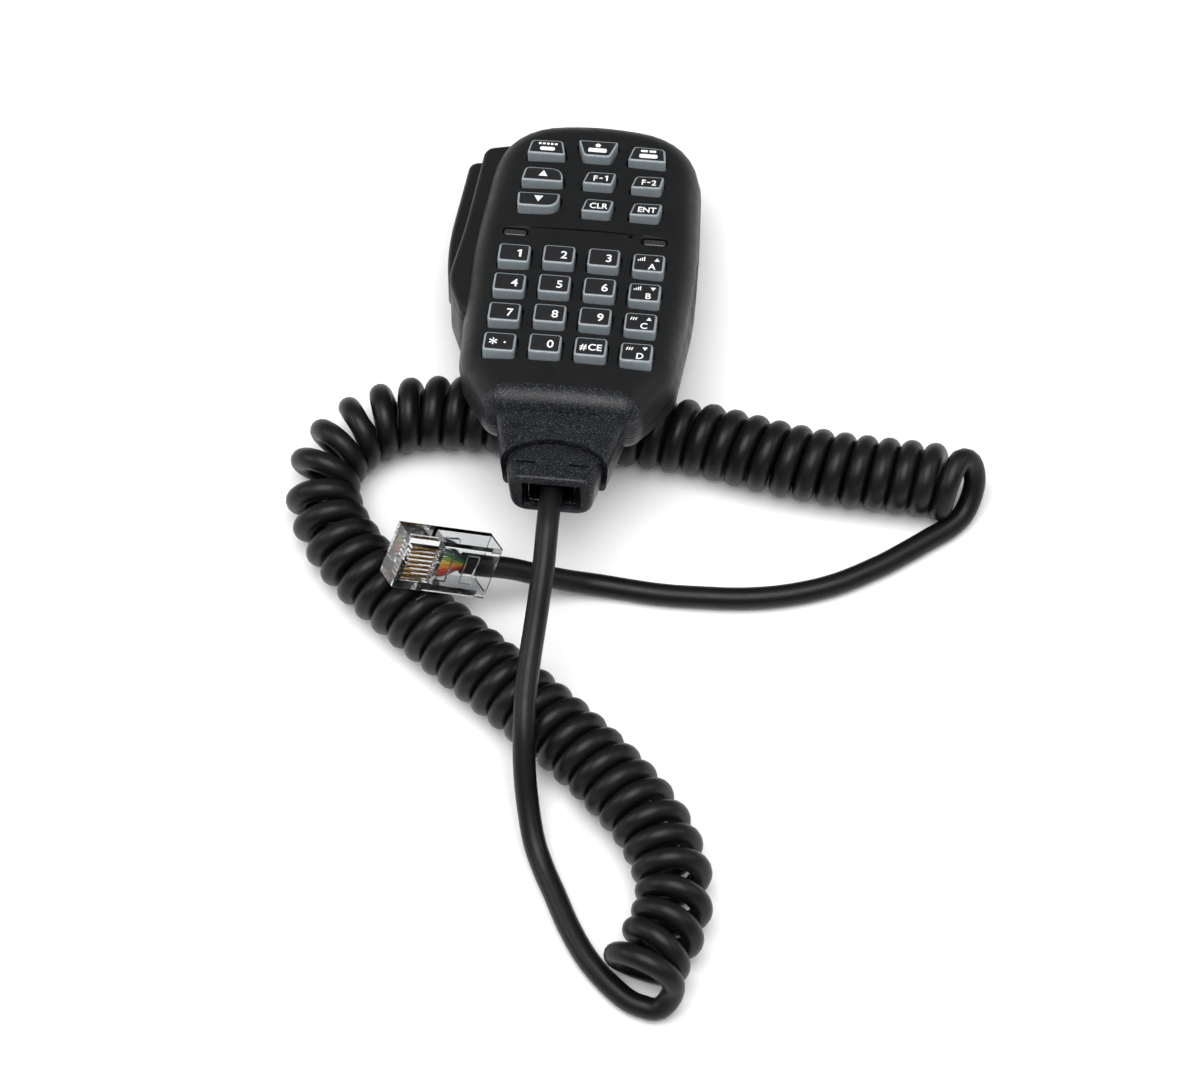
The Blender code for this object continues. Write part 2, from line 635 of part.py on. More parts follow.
def make_case(shop):
    """Front and rear cases, cut from one hollow form."""
    shell = shop.cutter("case_form", case_form_mesh("case_form", 0.0))
    boolean(shell, "UNION", shop.cutter("neck_form", neck_mesh("neck_form", 0.0)))
    pod = prism_mesh("pod_form", POD_CORNERS, POD_BOTTOM_Z, POD_TOP_Z, POD_EDGE)
    boolean(shell, "UNION", shop.cutter("pod_form", pod))
    boolean(shell, "DIFFERENCE", shop.cutter("case_room", case_form_mesh("case_room", WALL)))
    neck_room = neck_mesh("neck_room", NECK_WALL)
    boolean(shell, "DIFFERENCE", shop.cutter("neck_room", neck_room))
    pod_room = prism_mesh("pod_room", POD_CORNERS, POD_BOTTOM_Z + WALL, POD_TOP_Z - WALL, inset=WALL)
    boolean(shell, "DIFFERENCE", shop.cutter("pod_room", pod_room))
    arch = shop.cutter("arch", arch_mesh("arch", ARCH_RADIUS + GAP))
    boolean(shell, "DIFFERENCE", arch)

    front = shop.part("front_case", frozen_mesh(shell, "front_case"), shop.case_plastic)
    rear = shop.part("rear_case", frozen_mesh(shell, "rear_case"), shop.case_plastic)
    reach = 80 * MM
    below = box_mesh("below_parting", (-reach, -reach, -reach), (reach, reach, PARTING_Z))
    above = box_mesh("above_parting", (-reach, -reach, PARTING_Z - GAP), (reach, reach, reach))
    boolean(front, "DIFFERENCE", shop.cutter("below_parting", below), "MANIFOLD")
    boolean(rear, "DIFFERENCE", shop.cutter("above_parting", above), "MANIFOLD")
    fit_front(shop, front)
    fit_rear(shop, rear)


def frozen_mesh(item, name):
    """The mesh of an object with its modifiers applied, in the object's own frame."""
    bpy.context.view_layer.update()
    evaluated = item.evaluated_get(bpy.context.evaluated_depsgraph_get())
    mesh = bpy.data.meshes.new_from_object(evaluated)
    mesh.name = name
    mesh.materials.clear()
    return mesh


def fit_front(shop, front):
    """Screw bosses, key holes, window holes and the seam in the front case."""
    bosses = shop.cutter_group("front_bosses")
    holes = shop.cutter_group("front_holes")
    for n, place in enumerate(SCREW_PLACES, 1):
        boss = cylinder_mesh(f"front_boss_{n}", place, FRONT_BOSS_RADIUS, PARTING_Z,
                             FACE_Z - WALL / 2)
        shop.cutter(f"front_boss_{n}", boss, bosses)
        hole = cylinder_mesh(f"front_pilot_{n}", place, SCREW_SHANK_RADIUS + GAP,
                             PARTING_Z - WALL, SCREW_TIP_Z + GAP)
        shop.cutter(f"front_pilot_{n}", hole, holes)
    pin_hole = cylinder_mesh("front_pin_hole", LEVER_PIVOT, PIN_RADIUS + PIN_CLEARANCE,
                             PARTING_Z - WALL, PIN_TOP_Z + GAP)
    shop.cutter("front_pin_hole", pin_hole, holes)
    for name, (centre, corners) in key_outlines().items():
        hole = prism_mesh(f"hole_{name}", shifted(corners, centre), KEY_FLANGE_TOP_Z, WALL,
                          steps=1, inset=-KEY_CLEARANCE)
        shop.cutter(f"hole_{name}", hole, holes)
    for name, centre in WINDOW_CENTRES.items():
        hole = prism_mesh(f"hole_{name}", window_outline(centre), KEY_FLANGE_TOP_Z, WALL,
                          steps=2, inset=-GAP)
        shop.cutter(f"hole_{name}", hole, holes)
    sound = cylinder_mesh("sound_hole", SOUND_HOLE, SOUND_HOLE_RADIUS, KEY_FLANGE_TOP_Z, 0.0,
                          steps=10)
    shop.cutter("sound_hole", sound, holes)
    seam = box_mesh("seam", (-SEAM_HALF_LENGTH, SEAM_Y - SEAM_WIDTH / 2, FACE_Z - SEAM_DEPTH),
                    (SEAM_HALF_LENGTH, SEAM_Y + SEAM_WIDTH / 2, 0.0))
    shop.cutter("seam", seam, holes)
    boolean(front, "UNION", bosses, "MANIFOLD")
    boolean(front, "DIFFERENCE", holes, "MANIFOLD")


def fit_rear(shop, rear):
    """Screw posts, stud boss, pin hole and lever opening in the rear case."""
    posts = shop.cutter_group("rear_posts")
    holes = shop.cutter_group("rear_holes")
    for n, place in enumerate(SCREW_PLACES, 1):
        floor = rear_height(place[1])
        post = cylinder_mesh(f"rear_post_{n}", place, REAR_BOSS_RADIUS, floor + WALL / 2,
                             PARTING_Z - 2 * GAP)
        shop.cutter(f"rear_post_{n}", post, posts)
        shank = cylinder_mesh(f"rear_shank_hole_{n}", place, SCREW_SHANK_RADIUS + GAP,
                              SCREW_SEAT_Z - WALL, PARTING_Z + WALL)
        shop.cutter(f"rear_shank_hole_{n}", shank, holes)
        head = cylinder_mesh(f"rear_head_hole_{n}", place, SCREW_HEAD_RADIUS + GAP,
                             REAR_Z - WALL, SCREW_SEAT_Z + GAP)
        shop.cutter(f"rear_head_hole_{n}", head, holes)
    stud_place = (0.0, STUD_Y)
    boss = cylinder_mesh("stud_boss", stud_place, STUD_BOSS_RADIUS, REAR_Z + WALL / 2,
                         REAR_Z + WALL + STUD_BOSS_HEIGHT)
    shop.cutter("stud_boss", boss, posts)
    pilot = cylinder_mesh("stud_pilot", stud_place, SCREW_SHANK_RADIUS + GAP, REAR_Z - WALL,
                          REAR_Z + WALL + STUD_BOSS_HEIGHT - GAP)
    shop.cutter("stud_pilot", pilot, holes)
    pin_hole = cylinder_mesh("rear_pin_hole", LEVER_PIVOT, PIN_RADIUS + PIN_CLEARANCE,
                             PIN_BOTTOM_Z - GAP, PARTING_Z + WALL)
    shop.cutter("rear_pin_hole", pin_hole, holes)
    opening = prism_mesh("lever_opening", LEVER_CORNERS, LEVER_BOTTOM_Z - LEVER_CLEARANCE,
                         PARTING_Z + WALL, inset=-LEVER_CLEARANCE)
    shop.cutter("lever_opening", opening, holes)
    swing = box_mesh("lever_swing",
                     (LEVER_INNER_X - GAP, LEVER_LOW_Y - LEVER_CLEARANCE,
                      LEVER_BOTTOM_Z - LEVER_CLEARANCE),
                     (LEVER_INNER_X + LEVER_SWING, LEVER_LUG_Y, PARTING_Z + WALL))
    shop.cutter("lever_swing", swing, holes)
    boolean(rear, "UNION", posts, "MANIFOLD")
    boolean(rear, "DIFFERENCE", holes, "MANIFOLD")


def make_keys(shop):
    """Twenty-five separate keys, each about the centre of its own top."""
    for name, (centre, corners) in key_outlines().items():
        key = shop.part(name, key_mesh(name, centre, corners), shop.key_plastic)
        key.location = (*centre, 0.0)


def make_keypad_stack(shop):
    """The rubber mat under the keys and the circuit board under the mat."""
    bosses = shop.cutter_group("boss_clearances")
    for n, place in enumerate(SCREW_PLACES, 1):
        clearance = cylinder_mesh(f"boss_clearance_{n}", place, FRONT_BOSS_RADIUS + 2 * GAP,
                                  2 * PARTING_Z, 0.0)
        shop.cutter(f"boss_clearance_{n}", clearance, bosses)
    mat_holes = shop.cutter_group("mat_holes")
    low = MAT_TOP_Z - 2 * MAT_THICKNESS
    high = MAT_TOP_Z + MAT_THICKNESS
    for name, (centre, corners) in key_outlines().items():
        hole = prism_mesh(f"mat_{name}", shifted(corners, centre), low, high, steps=1,
                          inset=KEY_PLUNGER_INSET - KEY_CLEARANCE)
        shop.cutter(f"mat_{name}", hole, mat_holes)
    for name, centre in WINDOW_CENTRES.items():
        hole = prism_mesh(f"mat_{name}", window_outline(centre), low, high, steps=2,
                          inset=-WINDOW_FLANGE - 2 * GAP)
        shop.cutter(f"mat_{name}", hole, mat_holes)
    boot_hole = cylinder_mesh("mat_boot_hole", ELEMENT_CENTRE,
                              ELEMENT_RADIUS + GAP + BOOT_WALL + GAP, low, high)
    shop.cutter("mat_boot_hole", boot_hole, mat_holes)

    outline = mirrored(CASE_CORNERS)
    mat_mesh = prism_mesh("keypad_mat", outline, MAT_TOP_Z - MAT_THICKNESS, MAT_TOP_Z,
                          steps=2, inset=BOARD_INSET)
    mat = shop.part("keypad_mat", mat_mesh, shop.mat_rubber)
    boolean(mat, "DIFFERENCE", bosses, "MANIFOLD")
    boolean(mat, "DIFFERENCE", mat_holes, "MANIFOLD")
    board_mesh = prism_mesh("main_board", outline, BOARD_TOP_Z - BOARD_THICKNESS, BOARD_TOP_Z,
                            steps=2, inset=BOARD_INSET)
    board = shop.part("main_board", board_mesh, shop.board_laminate)
    boolean(board, "DIFFERENCE", bosses)


def make_windows(shop):
    """Indicator windows: light pipes from the board up to the face."""
    for name, centre in WINDOW_CENTRES.items():
        top = face_height(centre[0]) - WINDOW_SINK
        levels = [
            (BOARD_TOP_Z + GAP, -WINDOW_FLANGE), (KEY_FLANGE_TOP_Z, -WINDOW_FLANGE),
            (KEY_FLANGE_TOP_Z, 0.0), (top, 0.0),
        ]
        corners = window_outline(centre)
        rings = [[(p.x, p.y, z) for p in rounded_outline(corners, inset, 2)] for z, inset in levels]
        shop.part(name, loft_mesh(name, rings), shop.smoke_plastic)


def make_element(shop):
    """The electret element in its rubber boot."""
    x, y = ELEMENT_CENTRE
    low = ELEMENT_TOP_Z - ELEMENT_HEIGHT
    shop.part("microphone_element",
              cylinder_mesh("microphone_element", ELEMENT_CENTRE, ELEMENT_RADIUS, low,
                            ELEMENT_TOP_Z), shop.steel)
    inner = ELEMENT_RADIUS + GAP
    outer = inner + BOOT_WALL
    floor = low - GAP
    profile = [(0.0, floor), (inner, floor), (inner, ELEMENT_TOP_Z), (outer, ELEMENT_TOP_Z),
               (outer, floor - BOOT_WALL), (0.0, floor - BOOT_WALL)]
    turned_object("microphone_boot", profile, (x, y, 0.0), shop.mat_rubber, shop.parts, shop.mic)


def screw_profile(tip, seat):
    """Half section of a pan-head screw whose tip points up."""
    shank = SCREW_SHANK_RADIUS
    head = SCREW_HEAD_RADIUS
    return [(0.0, tip), (shank * 0.5, tip), (shank, tip - shank), (shank, seat),
            (head, seat), (head, seat - SCREW_HEAD_HEIGHT * 0.6),
            (head * 0.7, seat - SCREW_HEAD_HEIGHT), (0.0, seat - SCREW_HEAD_HEIGHT)]


def make_fasteners(shop):
    """Case screws, the hanger stud and the stud's screw."""
    for n, (x, y) in enumerate(SCREW_PLACES, 1):
        turned_object(f"case_screw_{n}", screw_profile(SCREW_TIP_Z, SCREW_SEAT_Z), (x, y, 0.0),
                      shop.steel, shop.parts, shop.mic, 12)
    foot = REAR_Z - GAP
    step = foot - STUD_NECK_LENGTH
    end = step - STUD_HEAD_HEIGHT
    bore = SCREW_SHANK_RADIUS + GAP
    pocket = SCREW_HEAD_RADIUS + GAP
    seat = step + GAP
    profile = [(bore, foot), (STUD_NECK_RADIUS, foot), (STUD_NECK_RADIUS, step),
               (STUD_HEAD_RADIUS, step), (STUD_HEAD_RADIUS, end + 0.3 * STUD_HEAD_HEIGHT),
               (STUD_HEAD_RADIUS * 0.93, end), (pocket, end), (pocket, seat), (bore, seat)]
    turned_object("hanger_stud", profile, (0.0, STUD_Y, 0.0), shop.case_plastic, shop.parts,
                  shop.mic, 28)
    head_seat = seat - GAP
    tip = REAR_Z + WALL + STUD_BOSS_HEIGHT - 2 * GAP
    turned_object("stud_screw", screw_profile(tip, head_seat), (0.0, STUD_Y, 0.0), shop.steel,
                  shop.parts, shop.mic, 12)


def make_lever(shop):
    """Push-to-talk lever on its pin, and the switch that it presses."""
    pivot = (*LEVER_PIVOT, 0.0)
    body = prism_mesh("talk_lever", LEVER_CORNERS, LEVER_BOTTOM_Z, LEVER_TOP_Z, LEVER_EDGE)
    lever = shop.part("talk_lever", body, shop.lever_plastic, origin=pivot)
    bore = cylinder_mesh("lever_bore", LEVER_PIVOT, PIN_RADIUS + PIN_CLEARANCE,
                         LEVER_BOTTOM_Z - WALL, LEVER_TOP_Z + WALL, steps=16)
    boolean(lever, "DIFFERENCE", shop.cutter("lever_bore", bore))
    shop.part("lever_pin", cylinder_mesh("lever_pin", LEVER_PIVOT, PIN_RADIUS, PIN_BOTTOM_Z,
                                         PIN_TOP_Z, steps=12), shop.steel)
    depth, width, height = SWITCH_SIZE
    top = BOARD_TOP_Z - BOARD_THICKNESS - GAP
    switch_mesh = box_mesh("talk_switch", (SWITCH_OUTER_X, SWITCH_Y - width / 2, top - height),
                           (SWITCH_OUTER_X + depth, SWITCH_Y + width / 2, top))
    switch = shop.part("talk_switch", switch_mesh, shop.lever_plastic)
    axis_place = (SWITCH_Y, PLUNGER_Z)
    socket = cylinder_mesh("plunger_socket", axis_place, PLUNGER_RADIUS + GAP,
                           SWITCH_OUTER_X - WALL, SWITCH_OUTER_X + PLUNGER_BORE_DEPTH, "X", 16)
    boolean(switch, "DIFFERENCE", shop.cutter("plunger_socket", socket))
    start = LEVER_INNER_X + GAP
    plunger = cylinder_mesh("talk_plunger", axis_place, PLUNGER_RADIUS, start,
                            start + PLUNGER_LENGTH, "X", 16)
    shop.part("talk_plunger", plunger, shop.mat_rubber, origin=(start, *axis_place))


def make_neck(shop):
    """End cap, modular jack, the plug inside it and the ribbon to the board."""
    end_y = CAP_SECTIONS[-1][0]
    last = CAP_SECTIONS[-1]
    body_rings = [
        section_ring(CAP_SECTIONS[0], 0.0),
        section_ring(section_at(CAP_SECTIONS, end_y + CAP_END_EDGE), 0.0, end_y + CAP_END_EDGE),
        section_ring(last, CAP_END_EDGE),
    ]
    cap = shop.part("neck_cap", loft_mesh("neck_cap", body_rings), shop.case_plastic)
    boolean(cap, "INTERSECT", shop.cutter("cap_arch", arch_mesh("cap_arch", ARCH_RADIUS)))
    spigot_start = ARCH_TOP_Y + SPIGOT_LENGTH
    spigot_end = ARCH_TOP_Y - SPIGOT_OVERLAP
    spigot_inset = NECK_WALL + GAP
    spigot = loft_mesh("cap_spigot", [section_ring(section_at(NECK_SECTIONS, y), spigot_inset, y)
                                      for y in (spigot_start, spigot_end)])
    boolean(cap, "UNION", shop.cutter("cap_spigot", spigot))
    wide = JACK_OPENING[0] / 2
    tall = JACK_OPENING[1] / 2
    jack_half_width = wide + JACK_WALL
    jack_half_height = tall + JACK_WALL
    inside_y = end_y + CAP_END_WALL
    room = box_mesh("cap_room", (-jack_half_width - GAP, inside_y, JACK_Z - jack_half_height - GAP),
                    (jack_half_width + GAP, spigot_start + WALL, JACK_Z + jack_half_height + GAP))
    boolean(cap, "DIFFERENCE", shop.cutter("cap_room", room))
    mouth = box_mesh("cap_mouth", (-wide, end_y - WALL, JACK_Z - tall),
                     (wide, inside_y + WALL, JACK_Z + tall))
    boolean(cap, "DIFFERENCE", shop.cutter("cap_mouth", mouth))

    jack_start = inside_y + GAP
    jack_mesh = box_mesh("modular_jack",
                         (-jack_half_width, jack_start, JACK_Z - jack_half_height),
                         (jack_half_width, jack_start + JACK_DEPTH, JACK_Z + jack_half_height))
    jack = shop.part("modular_jack", jack_mesh, shop.lever_plastic)
    cavity = box_mesh("jack_cavity", (-wide, jack_start - WALL, JACK_Z - tall),
                      (wide, jack_start + JACK_DEPTH - WALL / 2, JACK_Z + tall))
    boolean(jack, "DIFFERENCE", shop.cutter("jack_cavity", cavity))
    plug_start = end_y + CAP_END_EDGE
    shop.part("seated_plug",
              box_mesh("seated_plug", (-wide + GAP, plug_start, JACK_Z - tall + GAP),
                       (wide - GAP, plug_start + INNER_PLUG_LENGTH, JACK_Z + tall - GAP)),
              shop.clear_plastic)
    ribbon_top = BOARD_TOP_Z - BOARD_THICKNESS - GAP
    ribbon_start = jack_start + JACK_DEPTH + GAP
    ribbon = box_mesh("jack_ribbon", (-RIBBON_WIDTH / 2, ribbon_start, ribbon_top - GAP),
                      (RIBBON_WIDTH / 2, ribbon_start + RIBBON_LENGTH, ribbon_top))
    shop.part("jack_ribbon", ribbon, shop.mat_rubber)


def make_plug(shop):
    """The clear modular plug on the cord's far end: +X to its nose, +Z out of the contact side."""
    nose = PLUG_LENGTH / 2
    half_width = PLUG_WIDTH / 2
    half_thick = PLUG_THICKNESS / 2
    body_mesh = box_mesh("plug_body", (-nose, -half_width, -half_thick),
                         (nose, half_width, half_thick))
    body = shop.part("plug_body", body_mesh, shop.clear_plastic, "plug")
    bevel = body.modifiers.new("edges", "BEVEL")
    bevel.width = PLUG_EDGE
    bevel.segments = 1
    bevel.limit_method = "ANGLE"
    contact_length, contact_height = CONTACT_SIZE
    pocket_width = CONTACT_COUNT * CONTACT_PITCH + GAP
    pocket_start = nose - NOSE_WALL - contact_length - 2 * GAP
    pocket = box_mesh("contact_pocket",
                      (pocket_start, -pocket_width / 2, half_thick - CONTACT_POCKET_DEPTH),
                      (nose - NOSE_WALL, pocket_width / 2, half_thick + WALL))
    boolean(body, "DIFFERENCE", shop.cutter("contact_pocket", pocket, parent="plug"))
    hollow = box_mesh("cable_hollow", (-nose - WALL, -PLUG_HOLLOW[0] / 2, -PLUG_HOLLOW[1] / 2),
                      (pocket_start - WALL / 2, PLUG_HOLLOW[0] / 2, PLUG_HOLLOW[1] / 2))
    boolean(body, "DIFFERENCE", shop.cutter("cable_hollow", hollow, parent="plug"))
    floor = half_thick - CONTACT_POCKET_DEPTH + GAP
    start = pocket_start + GAP
    for n in range(CONTACT_COUNT):
        y = (n - (CONTACT_COUNT - 1) / 2) * CONTACT_PITCH
        blade = box_mesh(f"plug_contact_{n + 1}", (start, y - CONTACT_THICKNESS / 2, floor),
                         (start + contact_length, y + CONTACT_THICKNESS / 2,
                          floor + contact_height))
        shop.part(f"plug_contact_{n + 1}", blade, shop.gold, "plug")
    wires_width, wires_thickness = WIRES_SIZE
    wires = box_mesh("plug_wires",
                     (CORD_IN_PLUG + GAP - nose, -wires_width / 2, -wires_thickness / 2),
                     (pocket_start - WALL / 2 - GAP, wires_width / 2, wires_thickness / 2))
    shop.part("plug_wires", wires, shop.gold, "plug")
    hinge = (nose - LATCH_SETBACK, 0.0, -half_thick - GAP)
    latch_mesh = box_mesh("plug_latch", (-LATCH_LENGTH, -LATCH_WIDTH / 2, -LATCH_THICKNESS),
                          (0.0, LATCH_WIDTH / 2, 0.0))
    latch = shop.part("plug_latch", latch_mesh, shop.clear_plastic, "plug")
    latch.location = hinge
    latch.rotation_euler = (0.0, -LATCH_ANGLE, 0.0)


def make_cord(shop):
    """The straight leads as tubes and the coiled stretch as one fat tube of its outer size."""
    bpy.context.view_layer.update()
    radius = CORD_DIAMETER / 2
    cap_end = CAP_SECTIONS[-1][0]
    plug_rear = -PLUG_LENGTH / 2
    leaving_cap = [shop.mic.matrix_world @ Vector((0.0, y, JACK_Z))
                   for y in (cap_end + CAP_END_EDGE - GAP, cap_end - LEAD_STRAIGHT)]
    entering_plug = [shop.plug.matrix_world @ Vector((x, 0.0, 0.0))
                     for x in (plug_rear - PLUG_LEAD_STRAIGHT, plug_rear, plug_rear + CORD_IN_PLUG)]
    spacing = 2.0 * CORD_DIAMETER
    mic_lead = smooth_route(leaving_cap[1:] + in_metres(MIC_LEAD_ROUTE), spacing)
    plug_lead = smooth_route(in_metres(PLUG_LEAD_ROUTE) + entering_plug[:1], spacing)
    coil = smooth_route(in_metres(COIL_ROUTE), 0.6 * COIL_DIAMETER)
    tube("cord_mic_lead", leaving_cap[:1] + mic_lead, radius, 3, shop.cord_rubber, shop.parts)
    tube("cord_plug_lead", plug_lead + entering_plug[1:], radius, 3, shop.cord_rubber, shop.parts)
    tube("cord_coil", coil, COIL_DIAMETER / 2, 4, shop.cord_rubber, shop.parts)


def main():
    """Build every piece."""
    clear_scene()
    shop = Workshop()
    make_case(shop)
    make_keys(shop)
    make_keypad_stack(shop)
    make_windows(shop)
    make_element(shop)
    make_fasteners(shop)
    make_lever(shop)
    make_neck(shop)
    make_plug(shop)
    make_cord(shop)
    bpy.context.view_layer.update()


main()
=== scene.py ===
"""Looks of the hand microphone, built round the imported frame.

The microphone's pieces are drawn in its own frame (+X to the right seen from the front, +Y towards
its top end, +Z out of the keypad, origin in the middle of the digit keys' tops). MICROPHONE puts
that frame in its place. The plug has such a frame too, with +X towards its nose.
"""

import math

import bmesh
import bpy
from mathutils import Euler, Matrix, Vector


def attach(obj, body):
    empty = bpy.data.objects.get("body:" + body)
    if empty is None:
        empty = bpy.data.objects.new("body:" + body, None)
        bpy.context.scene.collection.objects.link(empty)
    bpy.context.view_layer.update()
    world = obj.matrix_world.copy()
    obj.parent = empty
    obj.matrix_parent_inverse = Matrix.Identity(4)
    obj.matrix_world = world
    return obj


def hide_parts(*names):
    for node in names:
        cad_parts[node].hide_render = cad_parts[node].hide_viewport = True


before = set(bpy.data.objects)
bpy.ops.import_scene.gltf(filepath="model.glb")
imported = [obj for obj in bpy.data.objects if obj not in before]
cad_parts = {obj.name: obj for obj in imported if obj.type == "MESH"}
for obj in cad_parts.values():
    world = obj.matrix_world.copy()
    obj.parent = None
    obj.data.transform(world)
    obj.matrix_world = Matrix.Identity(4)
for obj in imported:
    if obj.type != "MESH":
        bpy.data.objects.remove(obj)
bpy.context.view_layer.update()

MM = 0.001


def mm(*lengths):
    """Lengths given in millimetres, in metres."""
    return tuple(length * MM for length in lengths)


GAP = 0.3 * MM                      # clearance between pieces that touch

# ---- where things lie
TILT = math.radians(10)
MIC_POSITION = mm(2.82, -3.89, 35.84)
PLUG_POSITION = mm(-18.7, -58.6, 19.8)
PLUG_ROTATION = (math.radians(-62.4), math.radians(-31.0), math.radians(196.6))
MICROPHONE = Matrix.Translation(MIC_POSITION) @ Matrix.Rotation(-TILT, 4, "X")
PLUG = Matrix.Translation(PLUG_POSITION) @ Euler(PLUG_ROTATION).to_matrix().to_4x4()
ROW = Matrix.Identity(4)

# ---- camera
CAMERA_AZIMUTH = math.radians(7.78)
CAMERA_ELEVATION = math.radians(60)
CAMERA_ROLL = math.radians(-1.99)
CAMERA_DISTANCE = 900 * MM
CAMERA_TARGET = mm(11.3, -40.3, 0.0)
CAMERA_LENS = 129.6
SENSOR_WIDTH = 36.0

# ---- case
WALL = 2.0 * MM
FACE_Z = -2.0 * MM                  # the face in the middle, below the key tops
FACE_RADIUS = 155 * MM              # the face is crowned from side to side
FACE_COLUMNS = 16                   # faces across the crowned face
EDGE_RADIUS = 5.0 * MM              # rounding round the face and round the back
DRAFT = 0.4 * MM
PARTING_Z = -11.0 * MM              # where front and rear case meet
WAIST_Z = -10.0 * MM                # where the case is widest
REAR_Z = -26.2 * MM
REAR_BREAK_Y = 12.6 * MM            # below this the back slopes up towards the neck
REAR_SLOPE = 0.245
# right half of the case outline, bottom to top: x, y and how far each corner is rounded
CASE_CORNERS = [
    mm(15.5, -27.3, 3.0), mm(22.6, -14.0, 3.5), mm(24.1, 18.0, 8.0), mm(21.6, 54.4, 13.7),
    mm(0.0, 55.8, 5.0),
]
POD_TOP_Z, POD_BOTTOM_Z = mm(-8.0, -23.2)
POD_EDGE = 1.2 * MM
POD_CORNERS = [
    mm(-16.0, 1.5, 1.0), mm(-16.0, 52.4, 1.0), mm(-24.9, 50.2, 2.2), mm(-26.3, 26.0, 6.0),
    mm(-28.0, 11.5, 3.5), mm(-23.9, 1.5, 2.5),
]
GRIP_PITCH = 6.0 * MM               # slanted scallops down the right side
GRIP_COUNT = 7
GRIP_START_Y = -15.0 * MM
GRIP_SIZE = mm(1.5, 2.5, 7.5)
GRIP_X, GRIP_Z = mm(24.4, -12.0)
GRIP_SLANT = math.radians(28)

# ---- neck and its end cap: y, half width at front and back, front and back z
NECK_SECTIONS = [
    mm(-20.0, 14.6, 14.0, -5.0, -17.9),
    mm(-27.5, 13.3, 12.5, -5.4, -17.7),
    mm(-40.5, 10.6, 9.6, -6.3, -17.3),
]
NECK_CORNER = 3.4 * MM
COARSE_GRAIN_AND_GLINT_Y = -22.3 * MM         # the moulding's grain is coarser below this, and glints are painted into its colour there
NECK_WALL = 1.2 * MM
ARCH_RADIUS = 15.2 * MM             # the neck meets the cap along an arch
ARCH_TOP_Y = -33.7 * MM
CAP_SECTIONS = [
    mm(-33.0, 11.0, 10.1, -7.1, -17.2),
    mm(-43.2, 8.9, 7.9, -6.8, -17.2),
]
CAP_END_EDGE = 0.9 * MM
CAP_END_WALL = 1.2 * MM
CAP_SLITS = [mm(-5.5, 3.9), mm(5.1, 4.1)]   # centre x and length
CAP_SLIT_Y, CAP_SLIT_WIDTH, CAP_SLIT_DEPTH = mm(-38.9, 0.5, 0.8)
SPIGOT_LENGTH, SPIGOT_OVERLAP = mm(4.0, 6.5)
JACK_Z = -12.0 * MM
JACK_OPENING = mm(11.9, 6.9)
JACK_WALL = 0.35 * MM
INNER_PLUG_LENGTH = 13.2 * MM
INNER_PLUG_HOLLOW = mm(4.5, 2.5, 9.0)   # half width, half height and depth
INNER_PLUG_EDGE = 0.25 * MM

# ---- keys
KEY_PITCH_X, KEY_PITCH_Y = mm(9.35, 8.39)
KEY_WIDTH, KEY_HEIGHT, KEY_CORNER = mm(6.6, 5.1, 0.9)
KEY_ROUNDING = 0.4 * MM             # round the edge of a key's top
KEY_DRAFT = 0.1 * MM
KEY_CLEARANCE = 0.35 * MM
KEY_FLANGE = 0.45 * MM
KEY_FLANGE_TOP_Z, KEY_FLANGE_BOTTOM_Z = mm(-5.7, -6.3)
KEY_PLUNGER_INSET, KEY_PLUNGER_Z = mm(1.8, -7.25)
WELL_FLARE = 0.35 * MM
PANEL_INSET = 0.42 * MM             # light rim left round the black panel
PANEL_RISE = 0.05 * MM
PANEL_SINK, PANEL_EDGE = mm(0.1, 0.05)
LEGEND_RISE = 0.015 * MM
LEGEND_OFFSET = 0.035 * MM          # thickens the letters' strokes

DIGIT_NAMES = [
    ["key_1", "key_2", "key_3", "key_a"], ["key_4", "key_5", "key_6", "key_b"],
    ["key_7", "key_8", "key_9", "key_c"], ["key_star", "key_0", "key_hash", "key_d"],
]
# upper keys: the outline of each top, counter-clockwise, and the rounding of each corner, in
# millimetres
UPPER_KEYS = {
    "key_top_left": [(-14.8, 41.8, 0.7), (-6.6, 41.8, 0.7), (-7.6, 46.1, 0.9), (-14.2, 45.8, 0.9)],
    "key_top_centre": [(-2.8, 41.8, 1.0), (2.9, 41.8, 1.0), (4.3, 46.5, 0.7), (-4.3, 46.4, 0.7)],
    "key_top_right": [(6.6, 41.8, 0.7), (14.8, 41.8, 0.7), (14.2, 45.8, 0.9), (7.6, 46.1, 0.9)],
    "key_up": [(-15.1, 33.7, 0.6), (-6.3, 33.8, 0.5), (-6.5, 37.8, 2.9), (-14.6, 37.7, 1.2)],
    "key_down": [(-15.1, 26.2, 1.0), (-6.4, 26.3, 2.9), (-6.4, 30.4, 0.6), (-15.3, 30.2, 0.7)],
    "key_f1": [(-2.2, 33.6, 0.7), (4.2, 33.6, 0.8), (4.8, 37.3, 0.7), (-1.3, 37.2, 0.9)],
    "key_f2": [(8.0, 33.8, 0.7), (14.4, 34.0, 0.8), (14.9, 37.6, 0.7), (8.9, 37.4, 0.9)],
    "key_clear": [(-1.6, 25.5, 0.7), (4.5, 25.5, 0.8), (5.1, 29.2, 0.7), (-0.8, 29.3, 0.9)],
    "key_enter": [(8.5, 25.8, 0.7), (14.7, 26.0, 0.8), (15.3, 29.7, 0.7), (9.3, 29.5, 0.9)],
}
